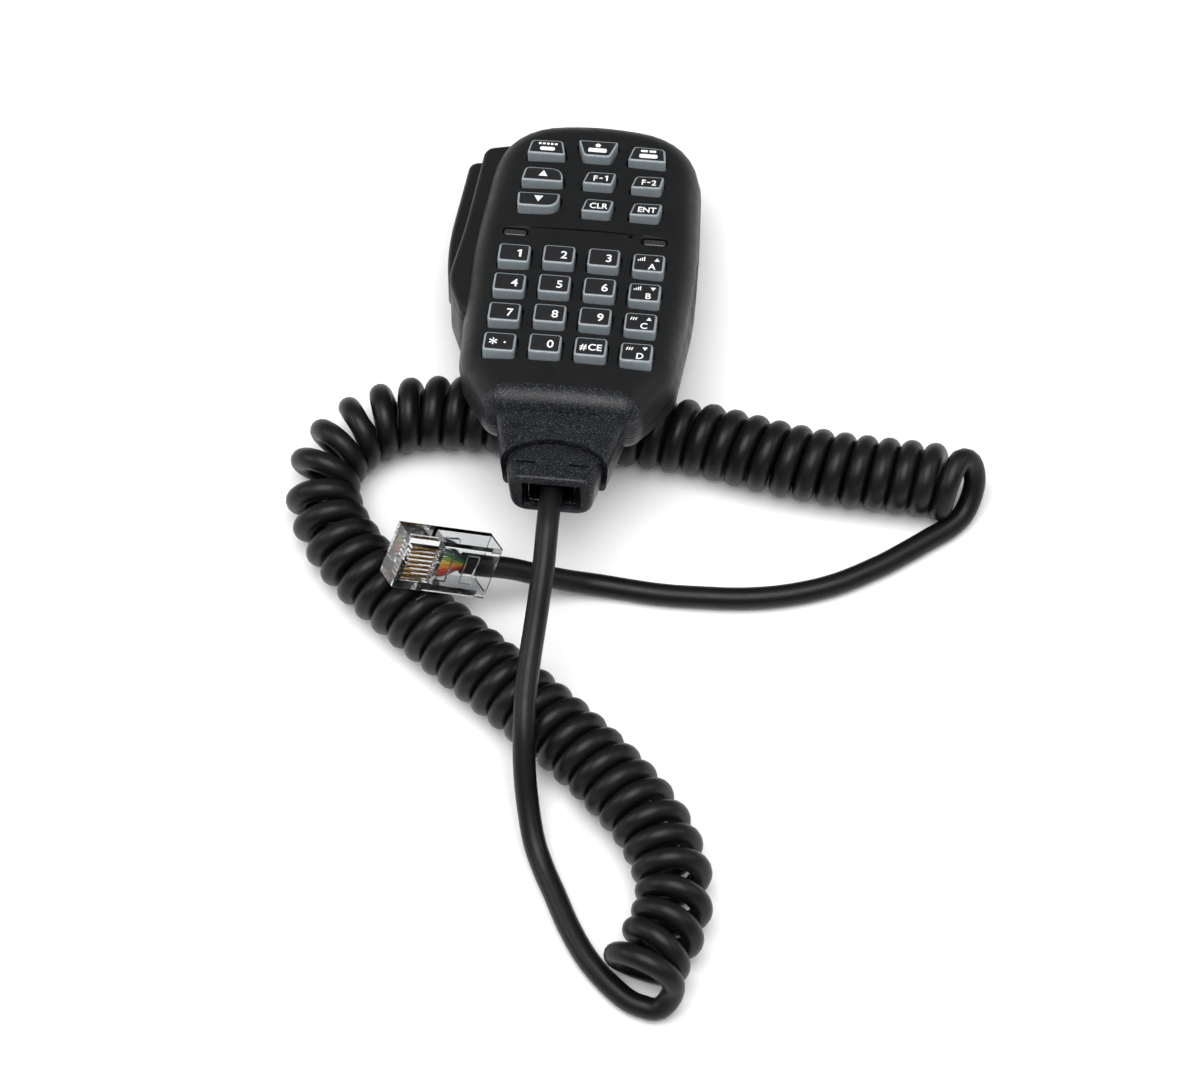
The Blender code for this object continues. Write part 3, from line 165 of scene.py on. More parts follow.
# legends: text, its size in millimetres and its place on the key in millimetres
LEGENDS = {f"key_{digit}": [(digit, 2.9, 1.1, -0.3)] for digit in "234567890"}
LEGENDS |= {f"key_{letter}": [(letter.upper(), 2.2, 0.8, -1.15)] for letter in "abcd"}
LEGENDS |= {
    "key_star": [("*", 4.0, -1.3, -0.9)],
    "key_hash": [("#", 2.4, -1.5, -0.3), ("CE", 2.4, 0.9, -0.3)],
    "key_f1": [("F", 2.1, -0.9, -0.25)],
    "key_f2": [("F", 2.1, -0.9, -0.25), ("2", 2.1, 1.3, -0.25)],
    "key_clear": [("CLR", 2.1, 0.2, -0.25)],
    "key_enter": [("ENT", 2.1, 0.2, -0.25)],
}


# ---- windows, screws, hanger stud and lever
WINDOW_CENTRES = {"window_left": mm(-14.8, 20.8), "window_right": mm(14.5, 20.8)}
WINDOW_WIDTH, WINDOW_HEIGHT, WINDOW_CORNER = mm(4.8, 1.7, 0.7)
WINDOW_FLANGE, WINDOW_SINK, WINDOW_ROUNDING, WINDOW_FLARE = mm(0.5, 0.35, 0.3, 0.3)
SEAM_Y = 21.8 * MM                  # thin groove between the windows
SEAM_HALF_LENGTH, SEAM_WIDTH, SEAM_DEPTH = mm(11.9, 0.42, 0.5)
SOUND_HOLE = mm(9.4, 21.3)
SOUND_HOLE_RADIUS = 0.5 * MM
SCREW_PLACES = [mm(0.0, 49.8), mm(11.0, -20.0), mm(-11.0, -20.0)]
SCREW_SHANK_RADIUS = 1.25 * MM
SCREW_HEAD_RADIUS, SCREW_HEAD_HEIGHT = mm(2.3, 1.5)
SCREW_SEAT_Z, SCREW_TIP_Z = mm(-16.0, -5.6)
SCREW_THREADS = 10
THREAD_REACH = 0.2 * MM             # from a thread's root to its crests, along the screw
THREAD_ROOT = 0.84                  # the root's share of the shank's radius
CROSS_ARM, CROSS_HALF_WIDTH, CROSS_DEPTH = mm(1.3, 0.28, 0.9)
FRONT_BOSS_RADIUS, REAR_BOSS_RADIUS = mm(2.3, 3.5)
STUD_Y = 28.0 * MM
STUD_EDGE = 0.5 * MM
STUD_NECK_RADIUS, STUD_NECK_LENGTH = mm(3.6, 2.2)
STUD_HEAD_RADIUS, STUD_HEAD_HEIGHT = mm(5.8, 1.8)
STUD_BOSS_RADIUS, STUD_BOSS_HEIGHT = mm(3.3, 4.6)
LEVER_TOP_Z, LEVER_BOTTOM_Z = mm(-11.9, -20.3)
LEVER_CLEARANCE = 0.4 * MM
LEVER_PIVOT = mm(-22.6, 46.2)
LEVER_INNER_X = -24.2 * MM
LEVER_LOW_Y = 13.2 * MM
LEVER_LUG_Y = 43.0 * MM
LEVER_SWING = 2.4 * MM
LEVER_CORNERS = [
    (LEVER_INNER_X, LEVER_LOW_Y, 0.5 * MM), (LEVER_INNER_X, LEVER_LUG_Y, 0.5 * MM),
    mm(-20.9, 44.2, 0.8), mm(-20.9, 48.2, 0.8), mm(-25.6, 49.8, 0.5), mm(-28.2, 49.2, 1.8),
    mm(-29.9, 23.0, 8.0), (-28.2 * MM, LEVER_LOW_Y, 1.8 * MM),
]
LEVER_ROUNDING = 1.3 * MM
PIN_RADIUS, PIN_CLEARANCE = mm(0.75, 0.35)
PIN_TOP_Z, PIN_BOTTOM_Z = mm(-9.3, -22.0)


# ---- modular plug at the cord's end
PLUG_LENGTH, PLUG_WIDTH, PLUG_THICKNESS = mm(21.46, 11.68, 6.6)
PLUG_HOLLOW = mm(8.9, 5.2)
PLUG_EDGE = 0.4 * MM
PLUG_RECESSES = [mm(-6.4, 1.5), mm(-0.6, 1.0)]      # start and depth of the crimp recesses
PLUG_RECESS_LENGTH, PLUG_RECESS_INSET = mm(2.6, 1.2)
CONTACT_COUNT = 8
CONTACT_PITCH, CONTACT_THICKNESS, CONTACT_CLEARANCE = mm(1.02, 0.4, 0.12)
CONTACT_SIZE = mm(6.0, 2.2)
CONTACT_POCKET_DEPTH = 2.9 * MM
NOSE_WALL = 1.2 * MM
LATCH_SETBACK = 2.2 * MM
LATCH_LENGTH, LATCH_WIDTH, LATCH_THICKNESS, LATCH_EDGE = mm(15.0, 3.3, 0.9, 0.2)
LATCH_ANGLE = math.radians(9)
CORD_IN_PLUG = 6.0 * MM
WIRE_RADIUS = 0.42 * MM
WIRE_COLOURS = [
    (0.03, 0.03, 0.03), (0.02, 0.08, 0.06), (0.03, 0.16, 0.06), (0.25, 0.30, 0.05),
    (0.60, 0.42, 0.04), (0.65, 0.22, 0.03), (0.48, 0.05, 0.02), (0.25, 0.03, 0.02),
]


# ---- cord
CORD_DIAMETER = 4.6 * MM
COIL_DIAMETER = 15.8 * MM
COIL_PITCH = 4.62 * MM              # turns touch
STEPS_PER_TURN = 28
CORD_IN_CAP = 4.0 * MM              # how far the lead reaches into the plug in the neck
LEAD_STRAIGHT = 3.0 * MM
PLUG_LEAD_STRAIGHT = 6.0 * MM
LEAD_Z = 2.45                       # of a lead that lies on the surface, in millimetres
COIL_Z = 7.95                       # of the coil's centre line
# in millimetres, from the microphone over the plug's lead and the coil to the surface
MIC_LEAD_ROUTE = [
    (2.9, -57.0, 31.6), (2.9, -62.5, 29.4), (2.6, -68.5, 26.6), (2.2, -74.5, 23.6),
    (1.8, -81.0, 21.0), (1.7, -87.5, 19.0), (2.1, -94.0, 16.4), (2.7, -100.0, 12.2),
    (3.9, -105.8, 7.8), (5.7, -111.9, 4.2), (8.1, -117.1, 2.7), (11.0, -122.5, LEAD_Z),
    (14.4, -129.0, LEAD_Z), (18.6, -135.4, LEAD_Z), (23.4, -140.5, LEAD_Z),
    (28.2, -144.1, LEAD_Z), (32.4, -145.4, 2.7),
]
# the coil's centre line, from the microphone's lead to the plug's lead
COIL_ROUTE = [(30.2, -141.2, 8.35), (31.0, -137.9, 8.0)] + [(x, y, COIL_Z) for x, y in [
    (32.9, -133.9), (34.5, -128.5), (34.9, -122.1), (32.8, -115.1), (28.0, -107.1),
    (20.0, -98.9), (11.6, -91.7), (2.0, -84.3), (-10.5, -75.1), (-21.4, -67.1), (-29.9, -60.7),
    (-37.4, -54.1), (-44.0, -45.5), (-47.0, -35.9), (-44.8, -27.9), (-39.6, -21.9),
    (-32.0, -18.1), (-22.5, -16.5), (-12.0, -16.3), (0.0, -16.5), (14.0, -16.9), (28.0, -17.7),
    (37.1, -19.2), (46.5, -21.0), (56.0, -22.2), (65.2, -22.8), (75.2, -23.1), (80.7, -23.4),
]]
# the plug's lead, from the coil to the plug
PLUG_LEAD_ROUTE = [
    (81.5, -28.9, 7.9), (82.5, -26.2, 12.2), (84.3, -21.4, 13.5), (86.8, -20.2, 11.0),
    (87.8, -22.7, 6.8), (86.4, -27.2, 3.3), (83.6, -30.8, 2.5), (79.4, -34.2, LEAD_Z),
    (74.6, -38.0, LEAD_Z), (69.4, -41.8, LEAD_Z), (60.9, -46.8, LEAD_Z), (51.9, -50.1, LEAD_Z),
    (42.8, -51.9, LEAD_Z), (33.6, -52.5, LEAD_Z), (24.3, -52.6, LEAD_Z), (12.5, -51.8, 2.7),
    (6.4, -52.4, 4.5), (0.6, -53.6, 7.9),
]
COIL_END_TURN = 0.78                # where on its last turn the plug's lead takes over
END_TURN_GROWTH = 0.18              # the turn at the microphone's end is this much wider
END_TURN_REACH = 5 * MM
LEAD_STEP = 1.2 * MM
JOIN_REACH = 1.1                    # how far a join keeps each lead's direction


# ---- building blocks
SHARP_ANGLE = math.radians(32)


def rounded_outline(corners, inset=0.0, steps=8):
    """Points round a counter-clockwise outline moved in by inset, each corner cut to a curve."""
    count = len(corners)
    moved = []
    for i, (x, y, cut) in enumerate(corners):
        before = Vector(corners[i - 1][:2])
        here = Vector((x, y))
        after = Vector(corners[(i + 1) % count][:2])
        edge_in = (here - before).normalized()
        edge_out = (after - here).normalized()
        turn = math.atan2(edge_in.cross(edge_out), edge_in.dot(edge_out))
        normal_in = Vector((-edge_in.y, edge_in.x))
        normal_out = Vector((-edge_out.y, edge_out.x))
        shift = (normal_in + normal_out) / (1 + normal_in.dot(normal_out)) * inset
        new_cut = max(cut - inset * math.tan(turn / 2), 0.25 * cut)
        moved.append((here + shift, edge_in, edge_out, new_cut))
    points = []
    for here, edge_in, edge_out, cut in moved:
        start = here - edge_in * cut
        end = here + edge_out * cut
        for step in range(steps + 1):
            s = step / steps
            points.append(start * (1 - s) ** 2 + here * 2 * s * (1 - s) + end * s ** 2)
    return points


def mirrored(right_half):
    """A whole outline from its right half, which ends at the middle of the top."""
    left_half = [(-x, y, cut) for x, y, cut in reversed(right_half) if x > 0]
    return right_half + left_half


def rectangle(width, height, cut, centre=(0.0, 0.0)):
    """Corner list of a rectangle about its centre."""
    x, y = centre
    half_x = width / 2
    half_y = height / 2
    return [(x - half_x, y - half_y, cut), (x + half_x, y - half_y, cut),
            (x + half_x, y + half_y, cut), (x - half_x, y + half_y, cut)]


def smooth(mesh):
    """Shade a mesh smooth, with its sharp edges kept."""
    mesh.shade_smooth()
    mesh.set_sharp_from_angle(angle=SHARP_ANGLE)


def finish_mesh(name, bm):
    """Close a bmesh into a mesh whose faces point out."""
    bmesh.ops.recalc_face_normals(bm, faces=bm.faces[:])
    mesh = bpy.data.meshes.new(name)
    bm.to_mesh(mesh)
    bm.free()
    smooth(mesh)
    return mesh


def bridge(bm, ring_a, ring_b):
    """Join two rings of vertices with a band of faces."""
    count = len(ring_a)
    for i in range(count):
        j = (i + 1) % count
        bm.faces.new((ring_a[i], ring_a[j], ring_b[j], ring_b[i]))


def loft_mesh(name, rings):
    """A closed solid through rings of points, with a flat face on each end."""
    bm = bmesh.new()
    verts = [[bm.verts.new(point) for point in ring] for ring in rings]
    for ring_a, ring_b in zip(verts, verts[1:]):
        bridge(bm, ring_a, ring_b)
    bm.faces.new(verts[0])
    bm.faces.new(verts[-1])
    return finish_mesh(name, bm)


def level_mesh(name, outline, levels, steps=8):
    """A solid with one ring of the outline, moved in by inset, at each (z, inset) level."""
    rings = [[(p.x, p.y, z) for p in rounded_outline(outline, inset, steps)]
             for z, inset in levels]
    return loft_mesh(name, rings)


def rounded_levels(low, high, radius, steps=5, low_radius=None):
    """Levels of a plate whose top edge, and bottom edge if asked, are rounded."""
    angles = [math.pi / 2 * step / steps for step in range(steps + 1)]
    levels = [(low, 0.0)]
    if low_radius:
        levels = [(low + low_radius * (1 - math.cos(angle)), low_radius * (1 - math.sin(angle)))
                  for angle in angles]
    return levels + [(high - radius * (1 - math.cos(angle)), radius * (1 - math.sin(angle)))
                     for angle in reversed(angles)]


def box_mesh(name, low, high):
    """A box between two corners, for cutting."""
    bm = bmesh.new()
    bmesh.ops.create_cube(bm, size=1.0)
    centre = (Vector(low) + Vector(high)) / 2
    size = Vector(high) - Vector(low)
    for vertex in bm.verts:
        vertex.co = centre + Vector(a * b for a, b in zip(vertex.co, size))
    return finish_mesh(name, bm)


def cylinder_mesh(name, centre, radius, low, high, steps=48):
    """An upright cylinder between two heights."""
    bm = bmesh.new()
    bmesh.ops.create_cone(bm, cap_ends=True, segments=steps, radius1=radius, radius2=radius,
                          depth=high - low)
    move = Matrix.Translation((centre[0], centre[1], (low + high) / 2))
    bmesh.ops.transform(bm, matrix=move, verts=bm.verts[:])
    return finish_mesh(name, bm)


def cylinders(name, centres, *size):
    """The same upright cylinder at several places."""
    return [cylinder_mesh(name, centre, *size) for centre in centres]


def turned_mesh(name, profile, steps=48):
    """A solid of revolution about Z from a profile of (radius, z) that starts on the axis."""
    bm = bmesh.new()
    rings = []
    for radius, z in profile:
        if radius == 0.0:
            rings.append([bm.verts.new((0.0, 0.0, z))])
        else:
            angles = [2 * math.pi * i / steps for i in range(steps)]
            rings.append([bm.verts.new((radius * math.cos(a), radius * math.sin(a), z))
                          for a in angles])
    for ring_a, ring_b in zip(rings, rings[1:]):
        for i in range(steps):
            j = (i + 1) % steps
            corners = [ring_a[i % len(ring_a)], ring_a[j % len(ring_a)],
                       ring_b[j % len(ring_b)], ring_b[i % len(ring_b)]]
            bm.faces.new(list(dict.fromkeys(corners)))
    return finish_mesh(name, bm)


def carve(mesh, operation, others, solver="MANIFOLD"):
    """The mesh after cutting or joining it with each of the other meshes in turn."""
    scene = bpy.context.scene
    target = bpy.data.objects.new("carve_target", mesh)
    scene.collection.objects.link(target)
    helpers = []
    for other in others:
        helper = bpy.data.objects.new("carve_helper", other)
        scene.collection.objects.link(helper)
        helpers.append(helper)
        modifier = target.modifiers.new("carve", "BOOLEAN")
        modifier.operation = operation
        modifier.solver = solver
        modifier.object = helper
    bpy.context.view_layer.update()
    evaluated = target.evaluated_get(bpy.context.evaluated_depsgraph_get())
    result = bpy.data.meshes.new_from_object(evaluated)
    result.name = mesh.name
    for item in (target, *helpers):
        bpy.data.objects.remove(item, do_unlink=True)
    smooth(result)
    return result


def place_piece(name, data, material, body="case", place=MICROPHONE, stands_for=()):
    """Put a finished piece in the scene, riding on its body and replacing CAD nodes."""
    data.materials.clear()
    data.materials.append(material)
    item = bpy.data.objects.new(name, data)
    bpy.context.scene.collection.objects.link(item)
    item.matrix_world = place
    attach(item, body)
    if stands_for:
        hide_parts(*stands_for)
    return item


# ---- materials
class Nodes:
    """A node material with a Principled shader and short ways to add texture to it."""

    def __init__(self, name, colour, roughness, **values):
        self.material = bpy.data.materials.new(name)
        self.material.use_nodes = True
        self.tree = self.material.node_tree
        self.shader = self.tree.nodes["Principled BSDF"]
        self.shader.inputs["Base Color"].default_value = (*colour, 1.0)
        self.shader.inputs["Roughness"].default_value = roughness
        for socket, value in values.items():
            self.shader.inputs[socket.replace("_", " ")].default_value = value
        self.place = self.tree.nodes.new("ShaderNodeTexCoord")

    def add(self, kind, socket, source, **values):
        """A new node with one socket fed from source and others set."""
        node = self.tree.nodes.new("ShaderNode" + kind)
        for name, value in values.items():
            node.inputs[name.replace("_", " ")].default_value = value
        self.tree.links.new(source, node.inputs[socket])
        return node

    def noise(self, scale, detail=2.0, roughness=0.5):
        """A noise texture in the piece's own coordinates, features 1/scale metres across."""
        return self.add("TexNoise", "Vector", self.place.outputs["Object"], Scale=scale,
                        Detail=detail, Roughness=roughness).outputs["Fac"]

    def spread(self, source, low, high, socket):
        """Drive a socket from a texture, between two values."""
        node = self.add("MapRange", "Value", source, From_Min=0.3, From_Max=0.7, To_Min=low,
                        To_Max=high)
        self.tree.links.new(node.outputs["Result"], self.shader.inputs[socket])

    def tint(self, source, dark, light, low=0.3, high=0.7):
        """Vary the base colour between two colours as the texture goes from low to high."""
        node = self.add("ValToRGB", "Fac", source)
        for stop, position, colour in zip(node.color_ramp.elements, (low, high), (dark, light)):
            stop.position = position
            stop.color = (*colour, 1.0)
        self.tree.links.new(node.outputs["Color"], self.shader.inputs["Base Color"])

    def bump(self, source, height):
        """Raise the surface by a texture, height in metres; calls add up."""
        node = self.add("Bump", "Height", source, Strength=1.0, Distance=height)
        current = self.shader.inputs["Normal"]
        if current.is_linked:
            self.tree.links.new(current.links[0].from_socket, node.inputs["Normal"])
        self.tree.links.new(node.outputs["Normal"], current)


def moulded_black(name, grain, grain_height, roughness, painted_glint=0.0):
    """Black moulded plastic with an eroded texture of the given grain size; given a glint
    brightness, bluish specks are painted into its colour as glints off the grain.
    """
    nodes = Nodes(name, (0.005, 0.0052, 0.0056), roughness, Specular_IOR_Level=0.26)
    if painted_glint:
        # painted glints: noise specks lift the colour to a bluish grey where the grain would
        # sparkle in the light
        nodes.tint(nodes.noise(1 / grain, 1), (0.0045, 0.0048, 0.0055),
                   (painted_glint, 1.1 * painted_glint, 1.35 * painted_glint), 0.55, 0.78)
    else:
        nodes.tint(nodes.noise(60, 3), (0.0042, 0.0044, 0.0047), (0.0062, 0.0064, 0.0068))
    nodes.spread(nodes.noise(400, 4), roughness - 0.05, roughness + 0.07, "Roughness")
    nodes.bump(nodes.noise(1 / grain, 3, 0.6), grain_height)
    return nodes.material


def clear_material(name, roughness):
    """Clear polycarbonate."""
    nodes = Nodes(name, (0.97, 0.98, 0.99), roughness, Transmission_Weight=1.0, IOR=1.58)
    nodes.bump(nodes.noise(700, 2), 0.004 * MM)
    return nodes.material


CASE = moulded_black("case_plastic", 0.28 * MM, 0.02 * MM, 0.46)
# the neck's material carries painted glints in its colour
NECK = moulded_black("neck_plastic", 0.26 * MM, 0.05 * MM, 0.34, 0.09)
LEVER = moulded_black("lever_plastic", 0.20 * MM, 0.006 * MM, 0.42)
CLEAR = clear_material("clear_plastic", 0.03)


def key_materials():
    """Grey translucent key body, black key panel and white legend."""
    body = Nodes("key_plastic", (0.25, 0.285, 0.305), 0.38, Subsurface_Weight=0.25,
                 Subsurface_Scale=1.0 * MM, Coat_Weight=0.25, Coat_Roughness=0.2)
    body.tint(body.noise(500, 2), (0.23, 0.265, 0.285), (0.265, 0.30, 0.32))
    body.bump(body.noise(2500, 2), 0.003 * MM)
    panel = Nodes("key_panel", (0.008, 0.008, 0.009), 0.32)
    panel.spread(panel.noise(900, 3), 0.28, 0.36, "Roughness")
    panel.bump(panel.noise(3000, 2), 0.003 * MM)
    legend = Nodes("key_legend", (0.85, 0.86, 0.86), 0.5)
    legend.bump(legend.noise(5000, 2), 0.002 * MM)
    return body.material, panel.material, legend.material


KEY_BODY, KEY_PANEL, KEY_LEGEND = key_materials()


# ---- case
def face_height(x):
    """Height of the crowned face."""
    return FACE_Z - x * x / (2 * FACE_RADIUS)


def rear_height(y):
    """Height of the back, which slopes up towards the neck."""
    return REAR_Z + max(0.0, REAR_BREAK_Y - y) * REAR_SLOPE


def with_bottom(outline):
    """The outline with its straight bottom edge divided, to follow the crowned face."""
    left, right = outline[-1], outline[0]
    return outline + [left.lerp(right, n / FACE_COLUMNS) for n in range(1, FACE_COLUMNS)]


def cap_rows(bm, ring, columns, height):
    """Close a mirror-symmetric ring with rows of faces that follow height(x)."""
    count = len(ring) - FACE_COLUMNS + 1
    rows = []
    for k in range(count // 2):
        right = ring[k]
        left = ring[count - 1 - k]
        inner = []
        if k == 0:
            inner = ring[:count - 1:-1]
        elif k < count // 2 - 1 and right.co.x > 1 * MM:
            for n in range(1, columns):
                x = right.co.x + (left.co.x - right.co.x) * n / columns
                inner.append(bm.verts.new((x, right.co.y, height(x))))
        rows.append([right, *inner, left])
    for lower, upper in zip(rows, rows[1:]):
        if len(lower) == len(upper):
            for n in range(len(lower) - 1):
                bm.faces.new((lower[n], upper[n], upper[n + 1], lower[n + 1]))
        else:
            bm.faces.new((*lower, *reversed(upper)))
    if count % 2:
        bm.faces.new((*rows[-1], ring[count // 2]))


def case_form(name, wall):
    """The case without its neck and pod, or with wall set, the room inside it."""
    outline = mirrored(CASE_CORNERS)
    radius = EDGE_RADIUS - wall
    steps = 8
    bm = bmesh.new()
    rings = []

    def add_ring(inset, height):
        """One ring of the outline moved in by inset, each point at its height."""
        points = with_bottom(rounded_outline(outline, inset, steps))
        rings.append([bm.verts.new((p.x, p.y, height(p))) for p in points])

    edge = [(wall + DRAFT + radius * (1 - math.sin(angle)), wall + radius * (1 - math.cos(angle)))
            for angle in (math.pi / 2 * step / steps for step in range(steps + 1))]
    for inset, depth in edge:
        add_ring(inset, lambda p: face_height(p.x) - depth)
    add_ring(wall, lambda p: WAIST_Z)
    for inset, depth in reversed(edge):
        add_ring(inset, lambda p: rear_height(p.y) + depth)
    for ring_a, ring_b in zip(rings, rings[1:]):
        bridge(bm, ring_a, ring_b)
    cap_rows(bm, rings[0], FACE_COLUMNS, lambda x: face_height(x) - wall)
    cap_rows(bm, rings[-1], 1, None)
    return finish_mesh(name, bm)


def section_ring(section, inset):
    """Points round a neck section, which lies across the Y axis."""
    y, front, back, top, bottom = section
    corners = [(-front, top, NECK_CORNER), (-back, bottom, NECK_CORNER),
               (back, bottom, NECK_CORNER), (front, top, NECK_CORNER)]
    return [(p.x, y, p.y) for p in rounded_outline(corners, inset)]


def section_at(sections, y):
    """The section at y, between two listed ones or in line with the last two."""
    i = 1
    while i < len(sections) - 1 and y < sections[i][0]:
        i += 1
    a, b = sections[i - 1:i + 1]
    share = (y - a[0]) / (b[0] - a[0])
    return tuple(p + (q - p) * share for p, q in zip(a, b))


def neck_form(name, inset):
    """The neck from inside the case to beyond the arch."""
    sections = list(NECK_SECTIONS)
    if inset > 0:
        sections[0] = section_at(NECK_SECTIONS, sections[0][0] + WALL)
    return loft_mesh(name, [section_ring(section, inset) for section in sections])


def arch_form(name, radius):
    """The upright cylinder whose edge is the arch between neck and cap."""
    return cylinder_mesh(name, (0.0, ARCH_TOP_Y - ARCH_RADIUS), radius, REAR_Z, 0.0, 128)


def key_outlines():
    """Name, centre and corner list (relative to the centre) of every key."""
    keys = {}
    for row, names in enumerate(DIGIT_NAMES):
        for column, name in enumerate(names):
            centre = ((column - 1.5) * KEY_PITCH_X, (1.5 - row) * KEY_PITCH_Y)
            keys[name] = (centre, rectangle(KEY_WIDTH, KEY_HEIGHT, KEY_CORNER))
    for name, points in UPPER_KEYS.items():
        x, y = (sum(values) / len(points) * MM for values in list(zip(*points))[:2])
        keys[name] = ((x, y), [(px * MM - x, py * MM - y, cut * MM) for px, py, cut in points])
    return keys


def key_well(name, centre, corners):
    """Cutter for a key's hole, flared where it meets the face."""
    surface = face_height(centre[0])
    outline = [(x + centre[0], y + centre[1], cut) for x, y, cut in corners]
    return level_mesh(f"well_{name}", outline, [
        (KEY_FLANGE_TOP_Z, -KEY_CLEARANCE), (surface - WELL_FLARE, -KEY_CLEARANCE),
        (surface, -KEY_CLEARANCE - 0.4 * WELL_FLARE),
        (surface + WALL, -KEY_CLEARANCE - 1.6 * WELL_FLARE),
    ], steps=4)


def hollow_case():
    """The whole case with its neck and pod, hollow and open along the arch."""
    shell = case_form("case", 0.0)
    pod = level_mesh("pod", POD_CORNERS,
                     rounded_levels(POD_BOTTOM_Z, POD_TOP_Z, POD_EDGE, low_radius=POD_EDGE))
    shell = carve(shell, "UNION", [neck_form("neck", 0.0), pod])
    pod_room = level_mesh("pod_room", POD_CORNERS,
                          [(POD_BOTTOM_Z + WALL, WALL), (POD_TOP_Z - WALL, WALL)])
    rooms = [case_form("room", WALL), neck_form("neck_room", NECK_WALL), pod_room,
             arch_form("arch", ARCH_RADIUS + GAP)]
    return carve(shell, "DIFFERENCE", rooms)


def grip_scallops():
    """Slanted lens-shaped cutters down the right side."""
    scallops = []
    for n in range(GRIP_COUNT):
        bm = bmesh.new()
        bmesh.ops.create_uvsphere(bm, u_segments=32, v_segments=20, radius=1.0)
        size = Matrix.Diagonal((*GRIP_SIZE, 1.0))
        place = Matrix.Translation((GRIP_X, GRIP_START_Y + n * GRIP_PITCH, GRIP_Z))
        turn = Matrix.Rotation(GRIP_SLANT, 4, "X")
        bmesh.ops.transform(bm, matrix=place @ turn @ size, verts=bm.verts[:])
        scallops.append(finish_mesh(f"scallop_{n}", bm))
    return scallops


def pin_hole(low, high):
    """Cutter for the hole of the lever's pin."""
    return cylinder_mesh("pin_hole", LEVER_PIVOT, PIN_RADIUS + PIN_CLEARANCE, low, high)


def front_cutters():
    """Key wells, window holes, seam, sound hole and screw holes of the front case."""
    cutters = [key_well(name, centre, corners)
               for name, (centre, corners) in key_outlines().items()]
    for centre in WINDOW_CENTRES.values():
        outline = rectangle(WINDOW_WIDTH, WINDOW_HEIGHT, WINDOW_CORNER, centre)
        surface = face_height(centre[0])
        cutters.append(level_mesh("window_hole", outline, [
            (KEY_FLANGE_TOP_Z, -GAP), (surface - WINDOW_FLARE, -GAP), (surface + WALL, -GAP - WALL),
        ], steps=4))
    seam_low = (-SEAM_HALF_LENGTH, SEAM_Y - SEAM_WIDTH / 2, FACE_Z - SEAM_DEPTH)
    seam_high = (SEAM_HALF_LENGTH, SEAM_Y + SEAM_WIDTH / 2, 0.0)
    cutters.append(box_mesh("seam", seam_low, seam_high))
    cutters.append(cylinder_mesh("sound_hole", SOUND_HOLE, SOUND_HOLE_RADIUS,
                                 KEY_FLANGE_TOP_Z, 0.0, 24))
    cutters += cylinders("pilot", SCREW_PLACES, SCREW_SHANK_RADIUS + GAP, PARTING_Z - WALL,
                         SCREW_TIP_Z + GAP)
    cutters.append(pin_hole(PARTING_Z - WALL, PIN_TOP_Z + GAP))
    return cutters


def rear_cutters():
    """Screw holes, stud pilot, pin hole and lever opening of the rear case."""
    cutters = cylinders("shank_hole", SCREW_PLACES, SCREW_SHANK_RADIUS + GAP,
                        SCREW_SEAT_Z - WALL, PARTING_Z + WALL)
    cutters += cylinders("head_hole", SCREW_PLACES, SCREW_HEAD_RADIUS + GAP, REAR_Z - WALL,
                         SCREW_SEAT_Z + GAP)
    cutters.append(cylinder_mesh("stud_pilot", (0.0, STUD_Y), SCREW_SHANK_RADIUS + GAP,
                                 REAR_Z - WALL, REAR_Z + WALL + STUD_BOSS_HEIGHT - GAP))
    cutters.append(pin_hole(PIN_BOTTOM_Z - GAP, PARTING_Z + WALL))
    low = LEVER_BOTTOM_Z - LEVER_CLEARANCE
    cutters.append(level_mesh("lever_opening", LEVER_CORNERS, [
        (low, -LEVER_CLEARANCE), (PARTING_Z + WALL, -LEVER_CLEARANCE)]))
    cutters.append(box_mesh("lever_swing",
                            (LEVER_INNER_X - GAP, LEVER_LOW_Y - LEVER_CLEARANCE, low),
                            (LEVER_INNER_X + LEVER_SWING, LEVER_LUG_Y, PARTING_Z + WALL)))
    return cutters


def make_case():
    """Front and rear cases, cut from one hollow form."""
    reach = 80 * MM
    shell = carve(hollow_case(), "DIFFERENCE", grip_scallops())
    below = box_mesh("below", (-reach, -reach, -reach), (reach, reach, PARTING_Z))
    above = box_mesh("above", (-reach, -reach, PARTING_Z - GAP), (reach, reach, reach))
    front = carve(shell.copy(), "DIFFERENCE", [below])
    rear = carve(shell.copy(), "DIFFERENCE", [above])
    front_bosses = cylinders("boss", SCREW_PLACES, FRONT_BOSS_RADIUS, PARTING_Z,
                             FACE_Z - WALL / 2)
    rear_posts = [cylinder_mesh("post", place, REAR_BOSS_RADIUS, rear_height(place[1]) + WALL / 2,
                                PARTING_Z - 2 * GAP) for place in SCREW_PLACES]
    rear_posts.append(cylinder_mesh("stud_boss", (0.0, STUD_Y), STUD_BOSS_RADIUS,
                                    REAR_Z + WALL / 2, REAR_Z + WALL + STUD_BOSS_HEIGHT))
    front = carve(carve(front, "UNION", front_bosses), "DIFFERENCE", front_cutters())
    rear = carve(carve(rear, "UNION", rear_posts), "DIFFERENCE", rear_cutters())
    for name, mesh in (("front_case", front), ("rear_case", rear)):
        place_piece(name + "_shell", mesh, CASE, stands_for=[name])
        mesh.materials.append(NECK)
        # faces below this take the neck's material: coarser grain and painted glints
        for face in mesh.polygons:
            if face.center.y < COARSE_GRAIN_AND_GLINT_Y:
                face.material_index = 1


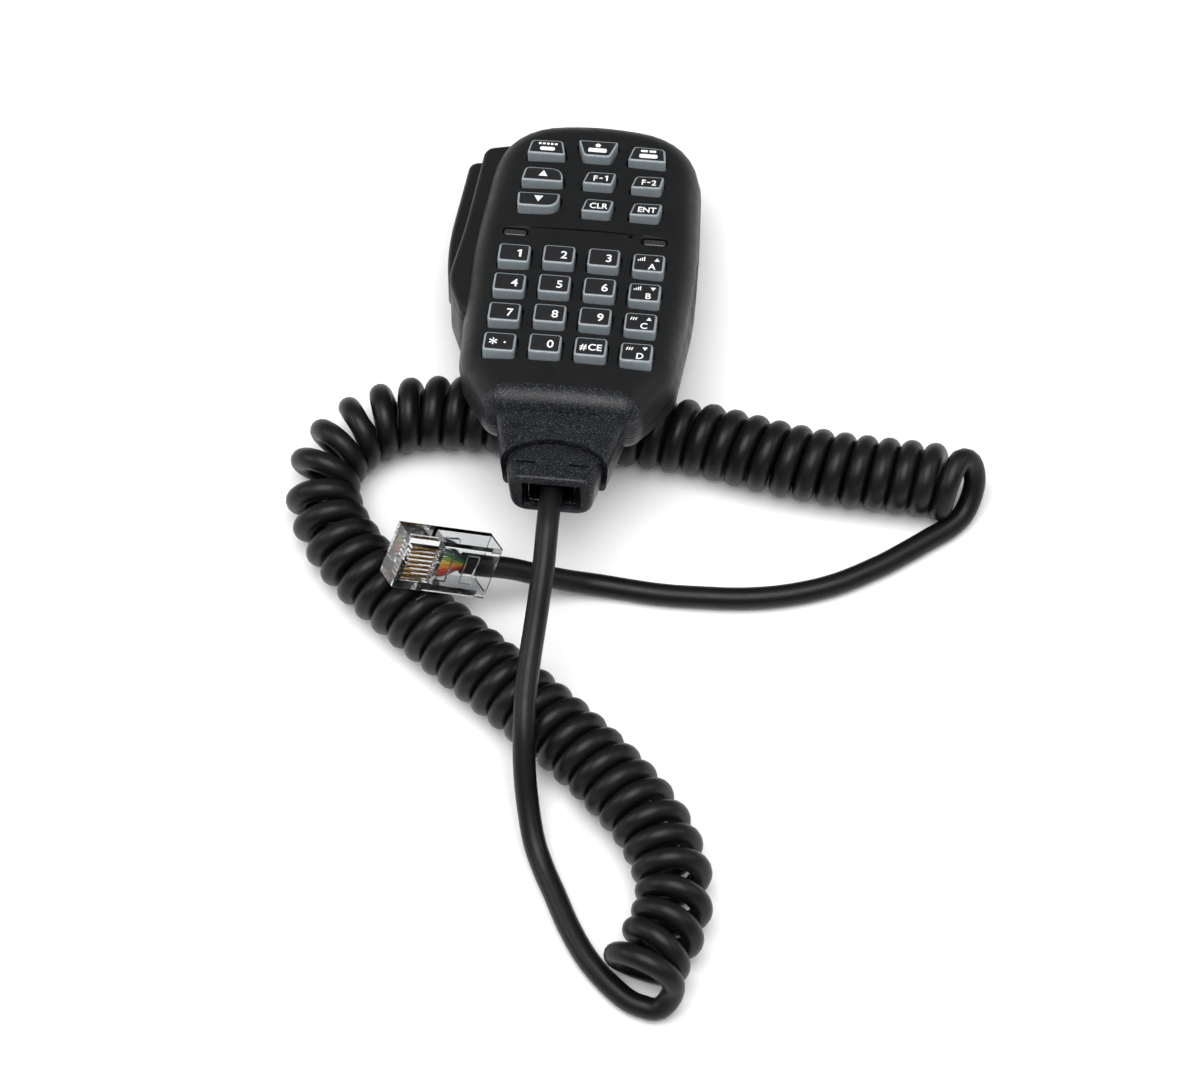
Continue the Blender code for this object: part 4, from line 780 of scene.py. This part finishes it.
# ---- keys
def make_key(name, centre, corners):
    """A key's translucent body, its black panel and its legend."""
    top = -centre[0] ** 2 / (2 * FACE_RADIUS)
    body = name + "_body"
    place = MICROPHONE @ Matrix.Translation((centre[0], centre[1], 0.0))
    levels = [
        (KEY_PLUNGER_Z, KEY_PLUNGER_INSET), (KEY_FLANGE_BOTTOM_Z, KEY_PLUNGER_INSET),
        (KEY_FLANGE_BOTTOM_Z, -KEY_FLANGE), (KEY_FLANGE_TOP_Z, -KEY_FLANGE),
        (KEY_FLANGE_TOP_Z, -KEY_DRAFT),
    ]
    levels += rounded_levels(FACE_Z, top, KEY_ROUNDING)
    place_piece(name + "_cap", level_mesh(name + "_cap", corners, levels, 5), KEY_BODY, body,
                place, [name])
    panel = level_mesh(name + "_panel", corners, [
        (top - PANEL_SINK, PANEL_INSET), (top + 0.6 * PANEL_RISE, PANEL_INSET),
        (top + PANEL_RISE, PANEL_INSET + PANEL_EDGE)], 5)
    place_piece(name + "_panel", panel, KEY_PANEL, body, place)
    legend_z = top + PANEL_RISE
    for n, (text, size, x, y) in enumerate(LEGENDS.get(name, [])):
        curve = bpy.data.curves.new(f"{name}_legend_{n}", "FONT")
        curve.body = text
        curve.size = size * MM
        curve.align_x = "CENTER"
        curve.align_y = "CENTER"
        curve.offset = LEGEND_OFFSET
        curve.extrude = LEGEND_RISE
        spot = place @ Matrix.Translation((x * MM, y * MM, legend_z))
        place_piece(f"{name}_legend_{n}", curve, KEY_LEGEND, body, spot)
    for n, corner_list in enumerate(SIGNS.get(name, [])):
        sign = level_mesh(f"{name}_sign_{n}", [mm(*corner) for corner in corner_list],
                          [(legend_z - LEGEND_RISE, 0.0), (legend_z + LEGEND_RISE, 0.0)], 3)
        place_piece(f"{name}_sign_{n}", sign, KEY_LEGEND, body, place)


def triangle(x, y, width, height, cut=0.03):
    """Corner list of an upright triangle; a negative height points it down."""
    points = [(x - width / 2, y - height / 2, cut), (x + width / 2, y - height / 2, cut),
              (x, y + height / 2, cut)]
    return points if height > 0 else points[::-1]


def bar(x, y, width, height, cut=0.03):
    """Corner list of a small rectangle."""
    return rectangle(width, height, cut, (x, y))


def one(x, y, height):
    """Corner list of the digit one, about its centre."""
    points = [(0.0, -0.5), (0.22, -0.5), (0.22, 0.5), (0.03, 0.5), (-0.24, 0.33), (-0.17, 0.17),
              (0.0, 0.27)]
    return [(x + px * height, y + py * height, 0.02) for px, py in points]


# four bars that grow to the right, for a level, and three slanted strokes, for the squelch
LEVEL_BARS = [bar(-2.2 + 0.42 * n, 0.6 + 0.13 * n, 0.25, 0.35 + 0.26 * n) for n in range(4)]
STROKES = [[(x, 0.4, 0.03), (x + 0.25, 0.4, 0.03), (x + 0.5, 1.2, 0.03), (x + 0.25, 1.2, 0.03)]
           for x in (-2.2, -1.7, -1.2)]
SMALL_UP = triangle(1.7, 0.95, 1.1, 0.9)
SMALL_DOWN = triangle(1.7, 0.95, 1.1, -0.9)
# signs that aren't letters: corner lists in millimetres from the key's centre
SIGNS = {
    "key_up": [triangle(0.0, 0.2, 1.9, 1.7, 0.05)],
    "key_down": [triangle(0.0, 0.1, 1.9, -1.7, 0.05)],
    "key_a": LEVEL_BARS + [SMALL_UP],
    "key_b": LEVEL_BARS + [SMALL_DOWN],
    "key_c": STROKES + [SMALL_UP],
    "key_d": STROKES + [SMALL_DOWN],
    "key_star": [bar(1.1, -0.2, 0.45, 0.45, 0.18)],
    "key_1": [one(1.1, -0.1, 2.05)],
    "key_f1": [bar(0.3, -0.1, 0.7, 0.3), one(1.4, 0.0, 1.5)],
    "key_f2": [bar(0.2, -0.1, 0.7, 0.3)],
    "key_top_left": [bar(0.2, -0.6, 3.2, 1.05, 0.5)]
                    + [bar(-1.5 + 0.85 * n, 0.85, 0.55, 0.55, 0.05) for n in range(5)],
    "key_top_centre": [bar(0.0, -0.6, 3.9, 1.15, 0.3), triangle(0.0, 1.15, 1.5, 0.6),
                       bar(0.0, 0.6, 0.9, 0.5)],
    "key_top_right": [bar(0.1, -0.6, 3.9, 1.15, 0.5), bar(-0.9, 0.85, 1.4, 0.6, 0.05),
                      bar(0.9, 0.85, 1.4, 0.6, 0.05)],
}


# ---- smaller pieces
def make_windows():
    """Smoky light pipes that end a little below the face."""
    smoke = Nodes("smoke_plastic", (0.022, 0.023, 0.018), 0.22, Transmission_Weight=0.25,
                  IOR=1.5, Coat_Weight=0.4, Coat_Roughness=0.1)
    smoke.tint(smoke.noise(1500, 2), (0.018, 0.019, 0.015), (0.034, 0.035, 0.028))
    smoke.bump(smoke.noise(900, 2), 0.01 * MM)
    for name, centre in WINDOW_CENTRES.items():
        outline = rectangle(WINDOW_WIDTH, WINDOW_HEIGHT, WINDOW_CORNER, centre)
        top = face_height(centre[0]) - WINDOW_SINK
        levels = [(KEY_FLANGE_BOTTOM_Z, -WINDOW_FLANGE), (KEY_FLANGE_TOP_Z, -WINDOW_FLANGE),
                  (KEY_FLANGE_TOP_Z, 0.0)]
        levels += rounded_levels(KEY_FLANGE_TOP_Z + GAP, top, WINDOW_ROUNDING)
        place_piece(name + "_pipe", level_mesh(name, outline, levels, 6), smoke.material,
                    stands_for=[name])


def make_lever():
    """Push-to-talk lever with softly rounded edges, bored for its pin."""
    levels = rounded_levels(LEVER_BOTTOM_Z, LEVER_TOP_Z, LEVER_ROUNDING,
                            low_radius=LEVER_ROUNDING)
    lever = level_mesh("lever", LEVER_CORNERS, levels)
    bore = cylinder_mesh("bore", LEVER_PIVOT, PIN_RADIUS + PIN_CLEARANCE,
                         LEVER_BOTTOM_Z - WALL, LEVER_TOP_Z + WALL, 32)
    lever = carve(lever, "DIFFERENCE", [bore])
    place_piece("talk_lever_shell", lever, LEVER, "lever", stands_for=["talk_lever"])


def screw_mesh(name, tip, seat):
    """A pan-head screw whose tip points up, with a cross recess in its head."""
    shank = SCREW_SHANK_RADIUS
    head = SCREW_HEAD_RADIUS
    end = seat - SCREW_HEAD_HEIGHT
    profile = [(0.0, tip), (shank * 0.5, tip), (shank, tip - shank)]
    for n in range(SCREW_THREADS):
        z = tip - shank - (tip - shank - seat) * (n + 0.5) / SCREW_THREADS
        profile += [(shank, z + THREAD_REACH), (shank * THREAD_ROOT, z), (shank, z - THREAD_REACH)]
    profile += [(shank, seat), (head, seat), (head, seat - SCREW_HEAD_HEIGHT * 0.45),
                (head * 0.9, seat - SCREW_HEAD_HEIGHT * 0.8), (head * 0.62, end), (0.0, end)]
    screw = turned_mesh(name, profile)
    low, high = end - CROSS_DEPTH, end + CROSS_DEPTH
    cross = [box_mesh("cross", (-x, -y, low), (x, y, high))
             for x, y in ((CROSS_ARM, CROSS_HALF_WIDTH), (CROSS_HALF_WIDTH, CROSS_ARM))]
    return carve(screw, "DIFFERENCE", cross, "EXACT")


def make_fasteners():
    """Case screws, the hanger stud and the stud's screw."""
    steel = Nodes("steel", (0.56, 0.56, 0.57), 0.32, Metallic=1.0)
    steel.spread(steel.noise(1500, 3), 0.26, 0.42, "Roughness")
    steel.bump(steel.noise(3000, 3), 0.004 * MM)
    for n, (x, y) in enumerate(SCREW_PLACES, 1):
        place_piece(f"case_screw_{n}_body", screw_mesh(f"screw_{n}", SCREW_TIP_Z, SCREW_SEAT_Z),
                    steel.material, place=MICROPHONE @ Matrix.Translation((x, y, 0.0)),
                    stands_for=[f"case_screw_{n}"])
    foot = REAR_Z - GAP
    step = foot - STUD_NECK_LENGTH
    end = step - STUD_HEAD_HEIGHT
    edge = STUD_EDGE
    profile = [(0.0, foot), (STUD_NECK_RADIUS + edge, foot), (STUD_NECK_RADIUS, foot - edge),
               (STUD_NECK_RADIUS, step + edge), (STUD_NECK_RADIUS + edge, step),
               (STUD_HEAD_RADIUS - edge, step), (STUD_HEAD_RADIUS, step - edge),
               (STUD_HEAD_RADIUS, end + edge), (STUD_HEAD_RADIUS - 0.25 * edge, end + 0.3 * edge),
               (STUD_HEAD_RADIUS * 0.93, end), (0.0, end)]
    bore = cylinder_mesh("bore", (0.0, 0.0), SCREW_SHANK_RADIUS + GAP, end - WALL, foot + WALL)
    pocket = cylinder_mesh("pocket", (0.0, 0.0), SCREW_HEAD_RADIUS + GAP, end - WALL, step + GAP)
    stud = carve(turned_mesh("stud", profile, 64), "DIFFERENCE", [bore, pocket], "EXACT")
    stud_place = MICROPHONE @ Matrix.Translation((0.0, STUD_Y, 0.0))
    place_piece("hanger_stud_body", stud, LEVER, place=stud_place, stands_for=["hanger_stud"])
    tip = REAR_Z + WALL + STUD_BOSS_HEIGHT - 2 * GAP
    place_piece("stud_screw_body", screw_mesh("stud_screw", tip, step), steel.material,
                place=stud_place, stands_for=["stud_screw"])
    return steel.material


def finish_inner_pieces(steel):
    """Give the pieces inside the case their materials."""
    rubber = Nodes("mat_rubber", (0.15, 0.17, 0.19), 0.6)
    rubber.bump(rubber.noise(2000, 3), 0.01 * MM)
    laminate = Nodes("board_laminate", (0.015, 0.09, 0.04), 0.4, Coat_Weight=0.5)
    laminate.tint(laminate.noise(300, 4), (0.012, 0.075, 0.033), (0.02, 0.11, 0.05))
    finishes = {
        "keypad_mat": rubber.material, "microphone_boot": rubber.material,
        "talk_plunger": rubber.material, "jack_ribbon": rubber.material,
        "main_board": laminate.material, "talk_switch": LEVER, "modular_jack": LEVER,
        "lever_pin": steel, "microphone_element": steel,
    }
    for name, material in finishes.items():
        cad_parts[name].data.materials[0] = material


# ---- neck cap and the plug in it
def make_cap():
    """The end cap with its arch, slits and mouth."""
    end_y = CAP_SECTIONS[-1][0]
    steps = 5
    rings = [section_ring(CAP_SECTIONS[0], 0.0)]
    for step in range(steps + 1):
        angle = math.pi / 2 * step / steps
        y = end_y + CAP_END_EDGE * (1 - math.sin(angle))
        rings.append(section_ring(section_at(CAP_SECTIONS, y),
                                  CAP_END_EDGE * (1 - math.cos(angle))))
    cap = carve(loft_mesh("cap", rings), "INTERSECT", [arch_form("arch", ARCH_RADIUS)])
    spigot_start = ARCH_TOP_Y + SPIGOT_LENGTH
    spigot_ends = (spigot_start, ARCH_TOP_Y - SPIGOT_OVERLAP)
    spigot = loft_mesh("spigot", [section_ring(section_at(NECK_SECTIONS, y), NECK_WALL + GAP)
                                  for y in spigot_ends])
    cap = carve(cap, "UNION", [spigot])
    wide, tall = (size / 2 for size in JACK_OPENING)
    inside_y = end_y + CAP_END_WALL
    room = box_mesh("room", (-wide - JACK_WALL - GAP, inside_y, JACK_Z - tall - JACK_WALL - GAP),
                    (wide + JACK_WALL + GAP, spigot_start + WALL,
                     JACK_Z + tall + JACK_WALL + GAP))
    mouth = box_mesh("mouth", (-wide, end_y - WALL, JACK_Z - tall),
                     (wide, inside_y + WALL, JACK_Z + tall))
    cutters = [room, mouth]
    for x, length in CAP_SLITS:
        surface = section_at(CAP_SECTIONS, CAP_SLIT_Y)[3]
        low = (x - length / 2, CAP_SLIT_Y - CAP_SLIT_WIDTH / 2, surface - CAP_SLIT_DEPTH)
        high = (x + length / 2, CAP_SLIT_Y + CAP_SLIT_WIDTH / 2, surface + WALL)
        cutters.append(box_mesh("slit", low, high))
    cap = carve(cap, "DIFFERENCE", cutters)
    place_piece("neck_cap_shell", cap, NECK, stands_for=["neck_cap"])

    plug_start = end_y + CAP_END_EDGE
    low = (-wide + GAP, plug_start, JACK_Z - tall + GAP)
    high = (wide - GAP, plug_start + INNER_PLUG_LENGTH, JACK_Z + tall - GAP)
    x, z, depth = INNER_PLUG_HOLLOW
    hollow = box_mesh("hollow", (-x, plug_start - WALL, JACK_Z - z),
                      (x, plug_start + depth, JACK_Z + z))
    plug = carve(box_mesh("seated", low, high), "DIFFERENCE", [hollow])
    seated = place_piece("seated_plug_body", plug, CLEAR, stands_for=["seated_plug"])
    soften(seated, INNER_PLUG_EDGE)


def soften(item, width):
    """Round the sharp edges of a piece."""
    bevel = item.modifiers.new("edges", "BEVEL")
    bevel.width = width
    bevel.segments = 3
    bevel.limit_method = "ANGLE"
    bevel.angle_limit = math.radians(30)


# ---- modular plug
def make_plug():
    """Clear plug body with its contacts, the coloured wires behind them and the latch."""
    nose = PLUG_LENGTH / 2
    half_width = PLUG_WIDTH / 2
    half_thick = PLUG_THICKNESS / 2
    contact_length, contact_height = CONTACT_SIZE
    pocket_start = nose - NOSE_WALL - contact_length - 2 * GAP
    floor = half_thick - CONTACT_POCKET_DEPTH
    cutters = []
    slots = [(n - (CONTACT_COUNT - 1) / 2) * CONTACT_PITCH for n in range(CONTACT_COUNT)]
    slot_half = CONTACT_THICKNESS / 2 + CONTACT_CLEARANCE
    for y in slots:
        cutters.append(box_mesh("slot", (pocket_start, y - slot_half, floor),
                                (nose - NOSE_WALL, y + slot_half, half_thick + WALL)))
    hollow_end = pocket_start - WALL / 2
    wide, tall = (size / 2 for size in PLUG_HOLLOW)
    cutters.append(box_mesh("entry", (-nose - WALL, -wide, -tall), (hollow_end, wide, tall)))
    side = wide - PLUG_RECESS_INSET
    for x, depth in PLUG_RECESSES:
        cutters.append(box_mesh("recess", (x, -side, half_thick - depth),
                                (x + PLUG_RECESS_LENGTH, side, half_thick + WALL)))
    body = carve(box_mesh("plug", (-nose, -half_width, -half_thick),
                          (nose, half_width, half_thick)), "DIFFERENCE", cutters, "EXACT")
    shell = place_piece("plug_body_shell", body, CLEAR, place=PLUG, stands_for=["plug_body"])
    soften(shell, PLUG_EDGE)

    gold = Nodes("gold", (0.83, 0.52, 0.20), 0.22, Metallic=1.0)
    gold.spread(gold.noise(1200, 3), 0.16, 0.32, "Roughness")
    gold.bump(gold.noise(2500, 2), 0.003 * MM)
    pieces = [shell]
    for n, y in enumerate(slots, 1):
        start = pocket_start + GAP
        outline = [(start, floor + GAP, 0.2 * MM), (start + contact_length, floor + GAP, 0.2 * MM),
                   (start + contact_length, floor + GAP + contact_height, 0.6 * MM),
                   (start, floor + GAP + contact_height, 0.5 * MM)]
        rings = [[(p.x, side, p.y) for p in rounded_outline(outline, 0.0, 4)]
                 for side in (y - CONTACT_THICKNESS / 2, y + CONTACT_THICKNESS / 2)]
        pieces.append(place_piece(f"plug_contact_{n}_blade", loft_mesh("blade", rings),
                                  gold.material, place=PLUG, stands_for=[f"plug_contact_{n}"]))
    start_x = CORD_IN_PLUG - nose - 1.0 * MM
    for n, (y, colour) in enumerate(zip(slots, WIRE_COLOURS), 1):
        wire = Nodes(f"wire_{n}", colour, 0.4)
        wire.bump(wire.noise(1500, 2), 0.01 * MM)
        points = [Vector((start_x, y * 0.35, 0.25 * MM * (n % 2) - 0.1 * MM)),
                  Vector((start_x + 2.2 * MM, y * 0.45, 0.0)),
                  Vector((start_x + 4.6 * MM, y * 0.9, 0.2 * MM)),
                  Vector((hollow_end - GAP, y, 0.0))]
        curve = tube_curve(f"wire_{n}", spline_points(points, 0.4 * MM), WIRE_RADIUS, 2)
        stands_for = ["plug_wires"] if n == 1 else []
        pieces.append(place_piece(f"plug_wire_{n}", curve, wire.material, place=PLUG,
                                  stands_for=stands_for))

    hinge = PLUG @ Matrix.Translation((nose - LATCH_SETBACK, 0.0, -half_thick - GAP))
    hinge = hinge @ Matrix.Rotation(-LATCH_ANGLE, 4, "Y")
    half = LATCH_WIDTH / 2
    cut = 0.6 * MM
    side = [(0.0, half, 0.5 * MM), (-0.35 * LATCH_LENGTH, half, cut),
            (-0.5 * LATCH_LENGTH, 0.8 * half, cut), (-LATCH_LENGTH, 0.8 * half, cut)]
    outline = side + [(x, -y, cut) for x, y, cut in reversed(side)]
    latch = level_mesh("latch", outline,
                       rounded_levels(-LATCH_THICKNESS, 0.0, LATCH_EDGE, 3, LATCH_EDGE), 4)
    pieces.append(place_piece("plug_latch_tab", latch, CLEAR, "latch", hinge, ["plug_latch"]))
    return pieces


# ---- cord shapes
def in_metres(route):
    """Points of a route that is given in millimetres."""
    return [Vector(point) * MM for point in route]


def spline_points(points, spacing):
    """Even points along a smooth curve through the given points."""
    anchors = [2 * points[0] - points[1]] + points + [2 * points[-1] - points[-2]]
    fine = []
    for a, b, c, d in zip(anchors, anchors[1:], anchors[2:], anchors[3:]):
        for step in range(24):
            s = step / 24
            fine.append(0.5 * (2 * b + (c - a) * s + (2 * a - 5 * b + 4 * c - d) * s ** 2
                               + (3 * b - a - 3 * c + d) * s ** 3))
    fine.append(anchors[-2])
    travelled = [0.0]
    for a, b in zip(fine, fine[1:]):
        travelled.append(travelled[-1] + (b - a).length)
    count = max(2, round(travelled[-1] / spacing))
    route = []
    i = 0
    for n in range(count + 1):
        wanted = travelled[-1] * n / count
        while i < len(fine) - 2 and travelled[i + 1] < wanted:
            i += 1
        share = (wanted - travelled[i]) / (travelled[i + 1] - travelled[i])
        route.append(fine[i].lerp(fine[i + 1], share))
    return route


def join(before, after, count):
    """Points of a smooth curve from the end of one route to the start of the next."""
    start, end = before[-1], after[0]
    reach = JOIN_REACH * (end - start).length
    start_way = (start - before[-2]).normalized() * reach
    end_way = (after[1] - end).normalized() * reach
    points = []
    for n in range(1, count):
        s = n / count
        points.append(start * (2 * s ** 3 - 3 * s ** 2 + 1) + start_way * (s ** 3 - 2 * s ** 2 + s)
                      + end * (3 * s ** 2 - 2 * s ** 3) + end_way * (s ** 3 - s ** 2))
    return points


def coil_points():
    """The helix round the coil's centre line; it opens out where the coil bends."""
    spacing = 0.2 * MM
    reach = 12
    up = Vector((0.0, 0.0, 1.0))
    radius = (COIL_DIAMETER - CORD_DIAMETER) / 2
    centre = spline_points(in_metres(COIL_ROUTE), spacing)
    last = len(centre) - 1
    phases = [0.0]
    sides = []
    for i, place in enumerate(centre):
        before = centre[max(i - reach, 0)]
        after = centre[min(i + reach, last)]
        sides.append((after - before).cross(up).normalized())
        bend = 0.0
        if reach <= i <= last - reach:
            bend = 2 * (place - before).angle(after - place) / (after - before).length
        pitch = COIL_PITCH / (1 - min(0.85 * bend * radius, 0.4))
        phases.append(phases[-1] + spacing / pitch)
    turns = round(phases[last] - COIL_END_TURN) + COIL_END_TURN
    points = []
    i = 0
    for n in range(round(turns * STEPS_PER_TURN) + 1):
        turn = n / STEPS_PER_TURN
        wanted = min(turn / turns, 1.0) * phases[last]
        while i < last - 1 and phases[i + 1] < wanted:
            i += 1
        share = (wanted - phases[i]) / (phases[i + 1] - phases[i])
        place = centre[i].lerp(centre[i + 1], share)
        side = sides[i].lerp(sides[i + 1], share)
        wide = radius * (1 + END_TURN_GROWTH * math.exp(-i * spacing / END_TURN_REACH))
        angle = 2 * math.pi * turn
        points.append(place + wide * math.cos(angle) * side + radius * math.sin(angle) * up)
    return points


def tube_curve(name, route, radius, resolution):
    """A round cord as curve data with closed ends."""
    curve = bpy.data.curves.new(name, "CURVE")
    curve.dimensions = "3D"
    curve.bevel_depth = radius
    curve.bevel_resolution = resolution
    curve.use_fill_caps = True
    spline = curve.splines.new("POLY")
    spline.points.add(len(route) - 1)
    spline.use_smooth = True
    for point, place in zip(spline.points, route):
        point.co = (*place, 1.0)
    return curve


def make_cord(plug_pieces):
    """One cord from the neck, through the coil, to the plug."""
    jacket = Nodes("cord_jacket", (0.0035, 0.0038, 0.004), 0.36, Specular_IOR_Level=0.24)
    jacket.tint(jacket.noise(80, 3), (0.003, 0.0032, 0.0035), (0.0045, 0.0048, 0.005))
    jacket.spread(jacket.noise(500, 4), 0.34, 0.44, "Roughness")
    jacket.bump(jacket.noise(2500, 3), 0.004 * MM)
    end_y = CAP_SECTIONS[-1][0]
    leaving = [MICROPHONE @ Vector((0.0, y, JACK_Z))
               for y in (end_y + CORD_IN_CAP, end_y, end_y - LEAD_STRAIGHT)]
    rear = -PLUG_LENGTH / 2
    entering = [PLUG @ Vector((x, 0.0, 0.0))
                for x in (rear - PLUG_LEAD_STRAIGHT, rear, rear + CORD_IN_PLUG)]
    first = spline_points(leaving + in_metres(MIC_LEAD_ROUTE), LEAD_STEP)
    coil = coil_points()
    last = spline_points(in_metres(PLUG_LEAD_ROUTE) + entering, LEAD_STEP)
    route = first + join(first, coil, 8) + coil + join(coil, last, 6) + last
    cord = place_piece("cord", tube_curve("cord", route, CORD_DIAMETER / 2, 6), jacket.material,
                       place=ROW, stands_for=["cord_mic_lead", "cord_coil", "cord_plug_lead"])


# ---- floor, light and camera
FLOOR_REACH = 3.0
# name, place, aim, width, height and power
LIGHTS = [
    ("overhead", (0.0, -0.25, 1.2), (0.0, -0.04, 0.0), 1.0, 0.9, 17.0),
    ("left", (-0.9, -0.1, 0.6), (0.0, -0.03, 0.0), 0.6, 0.6, 3.0),
    ("right", (0.9, 0.1, 0.7), (0.0, -0.03, 0.0), 0.6, 0.6, 2.0),
]


def make_stage():
    """Pale floor, soft overhead light and the camera."""
    scene = bpy.context.scene
    floor_mesh = bpy.data.meshes.new("floor")
    corners = [(x, y, 0.0) for x, y, _ in rectangle(2 * FLOOR_REACH, 2 * FLOOR_REACH, 0.0)]
    floor_mesh.from_pydata(corners, [], [(0, 1, 2, 3)])
    floor = bpy.data.objects.new("floor", floor_mesh)
    paper = Nodes("paper", (0.93, 0.93, 0.93), 0.7)
    floor_mesh.materials.append(paper.material)
    scene.collection.objects.link(floor)

    world = bpy.data.worlds.new("studio")
    world.use_nodes = True
    background = world.node_tree.nodes["Background"].inputs
    background["Color"].default_value = (0.96, 0.98, 1.0, 1.0)
    background["Strength"].default_value = 0.32
    scene.world = world
    scene.view_settings.view_transform = "Standard"
    for name, place, aim, width, height, power in LIGHTS:
        data = bpy.data.lights.new(name, "AREA")
        data.shape = "RECTANGLE"
        data.size = width
        data.size_y = height
        data.energy = power
        lamp = bpy.data.objects.new(name, data)
        lamp.location = place
        lamp.rotation_euler = (Vector(aim) - Vector(place)).to_track_quat("-Z", "Y").to_euler()
        scene.collection.objects.link(lamp)

    turn = (Matrix.Rotation(CAMERA_AZIMUTH, 4, "Z")
            @ Matrix.Rotation(math.pi / 2 - CAMERA_ELEVATION, 4, "X")
            @ Matrix.Rotation(CAMERA_ROLL, 4, "Z"))
    data = bpy.data.cameras.new("camera")
    data.lens = CAMERA_LENS
    data.sensor_width = SENSOR_WIDTH
    data.clip_start = 0.05
    camera = bpy.data.objects.new("camera", data)
    camera.matrix_world = (Matrix.Translation(CAMERA_TARGET) @ turn
                           @ Matrix.Translation((0.0, 0.0, CAMERA_DISTANCE)))
    scene.collection.objects.link(camera)
    scene.camera = camera


make_stage()
make_case()
for key_name, (key_centre, key_corners) in key_outlines().items():
    make_key(key_name, key_centre, key_corners)
make_windows()
make_lever()
finish_inner_pieces(make_fasteners())
make_cap()
make_cord(make_plug())
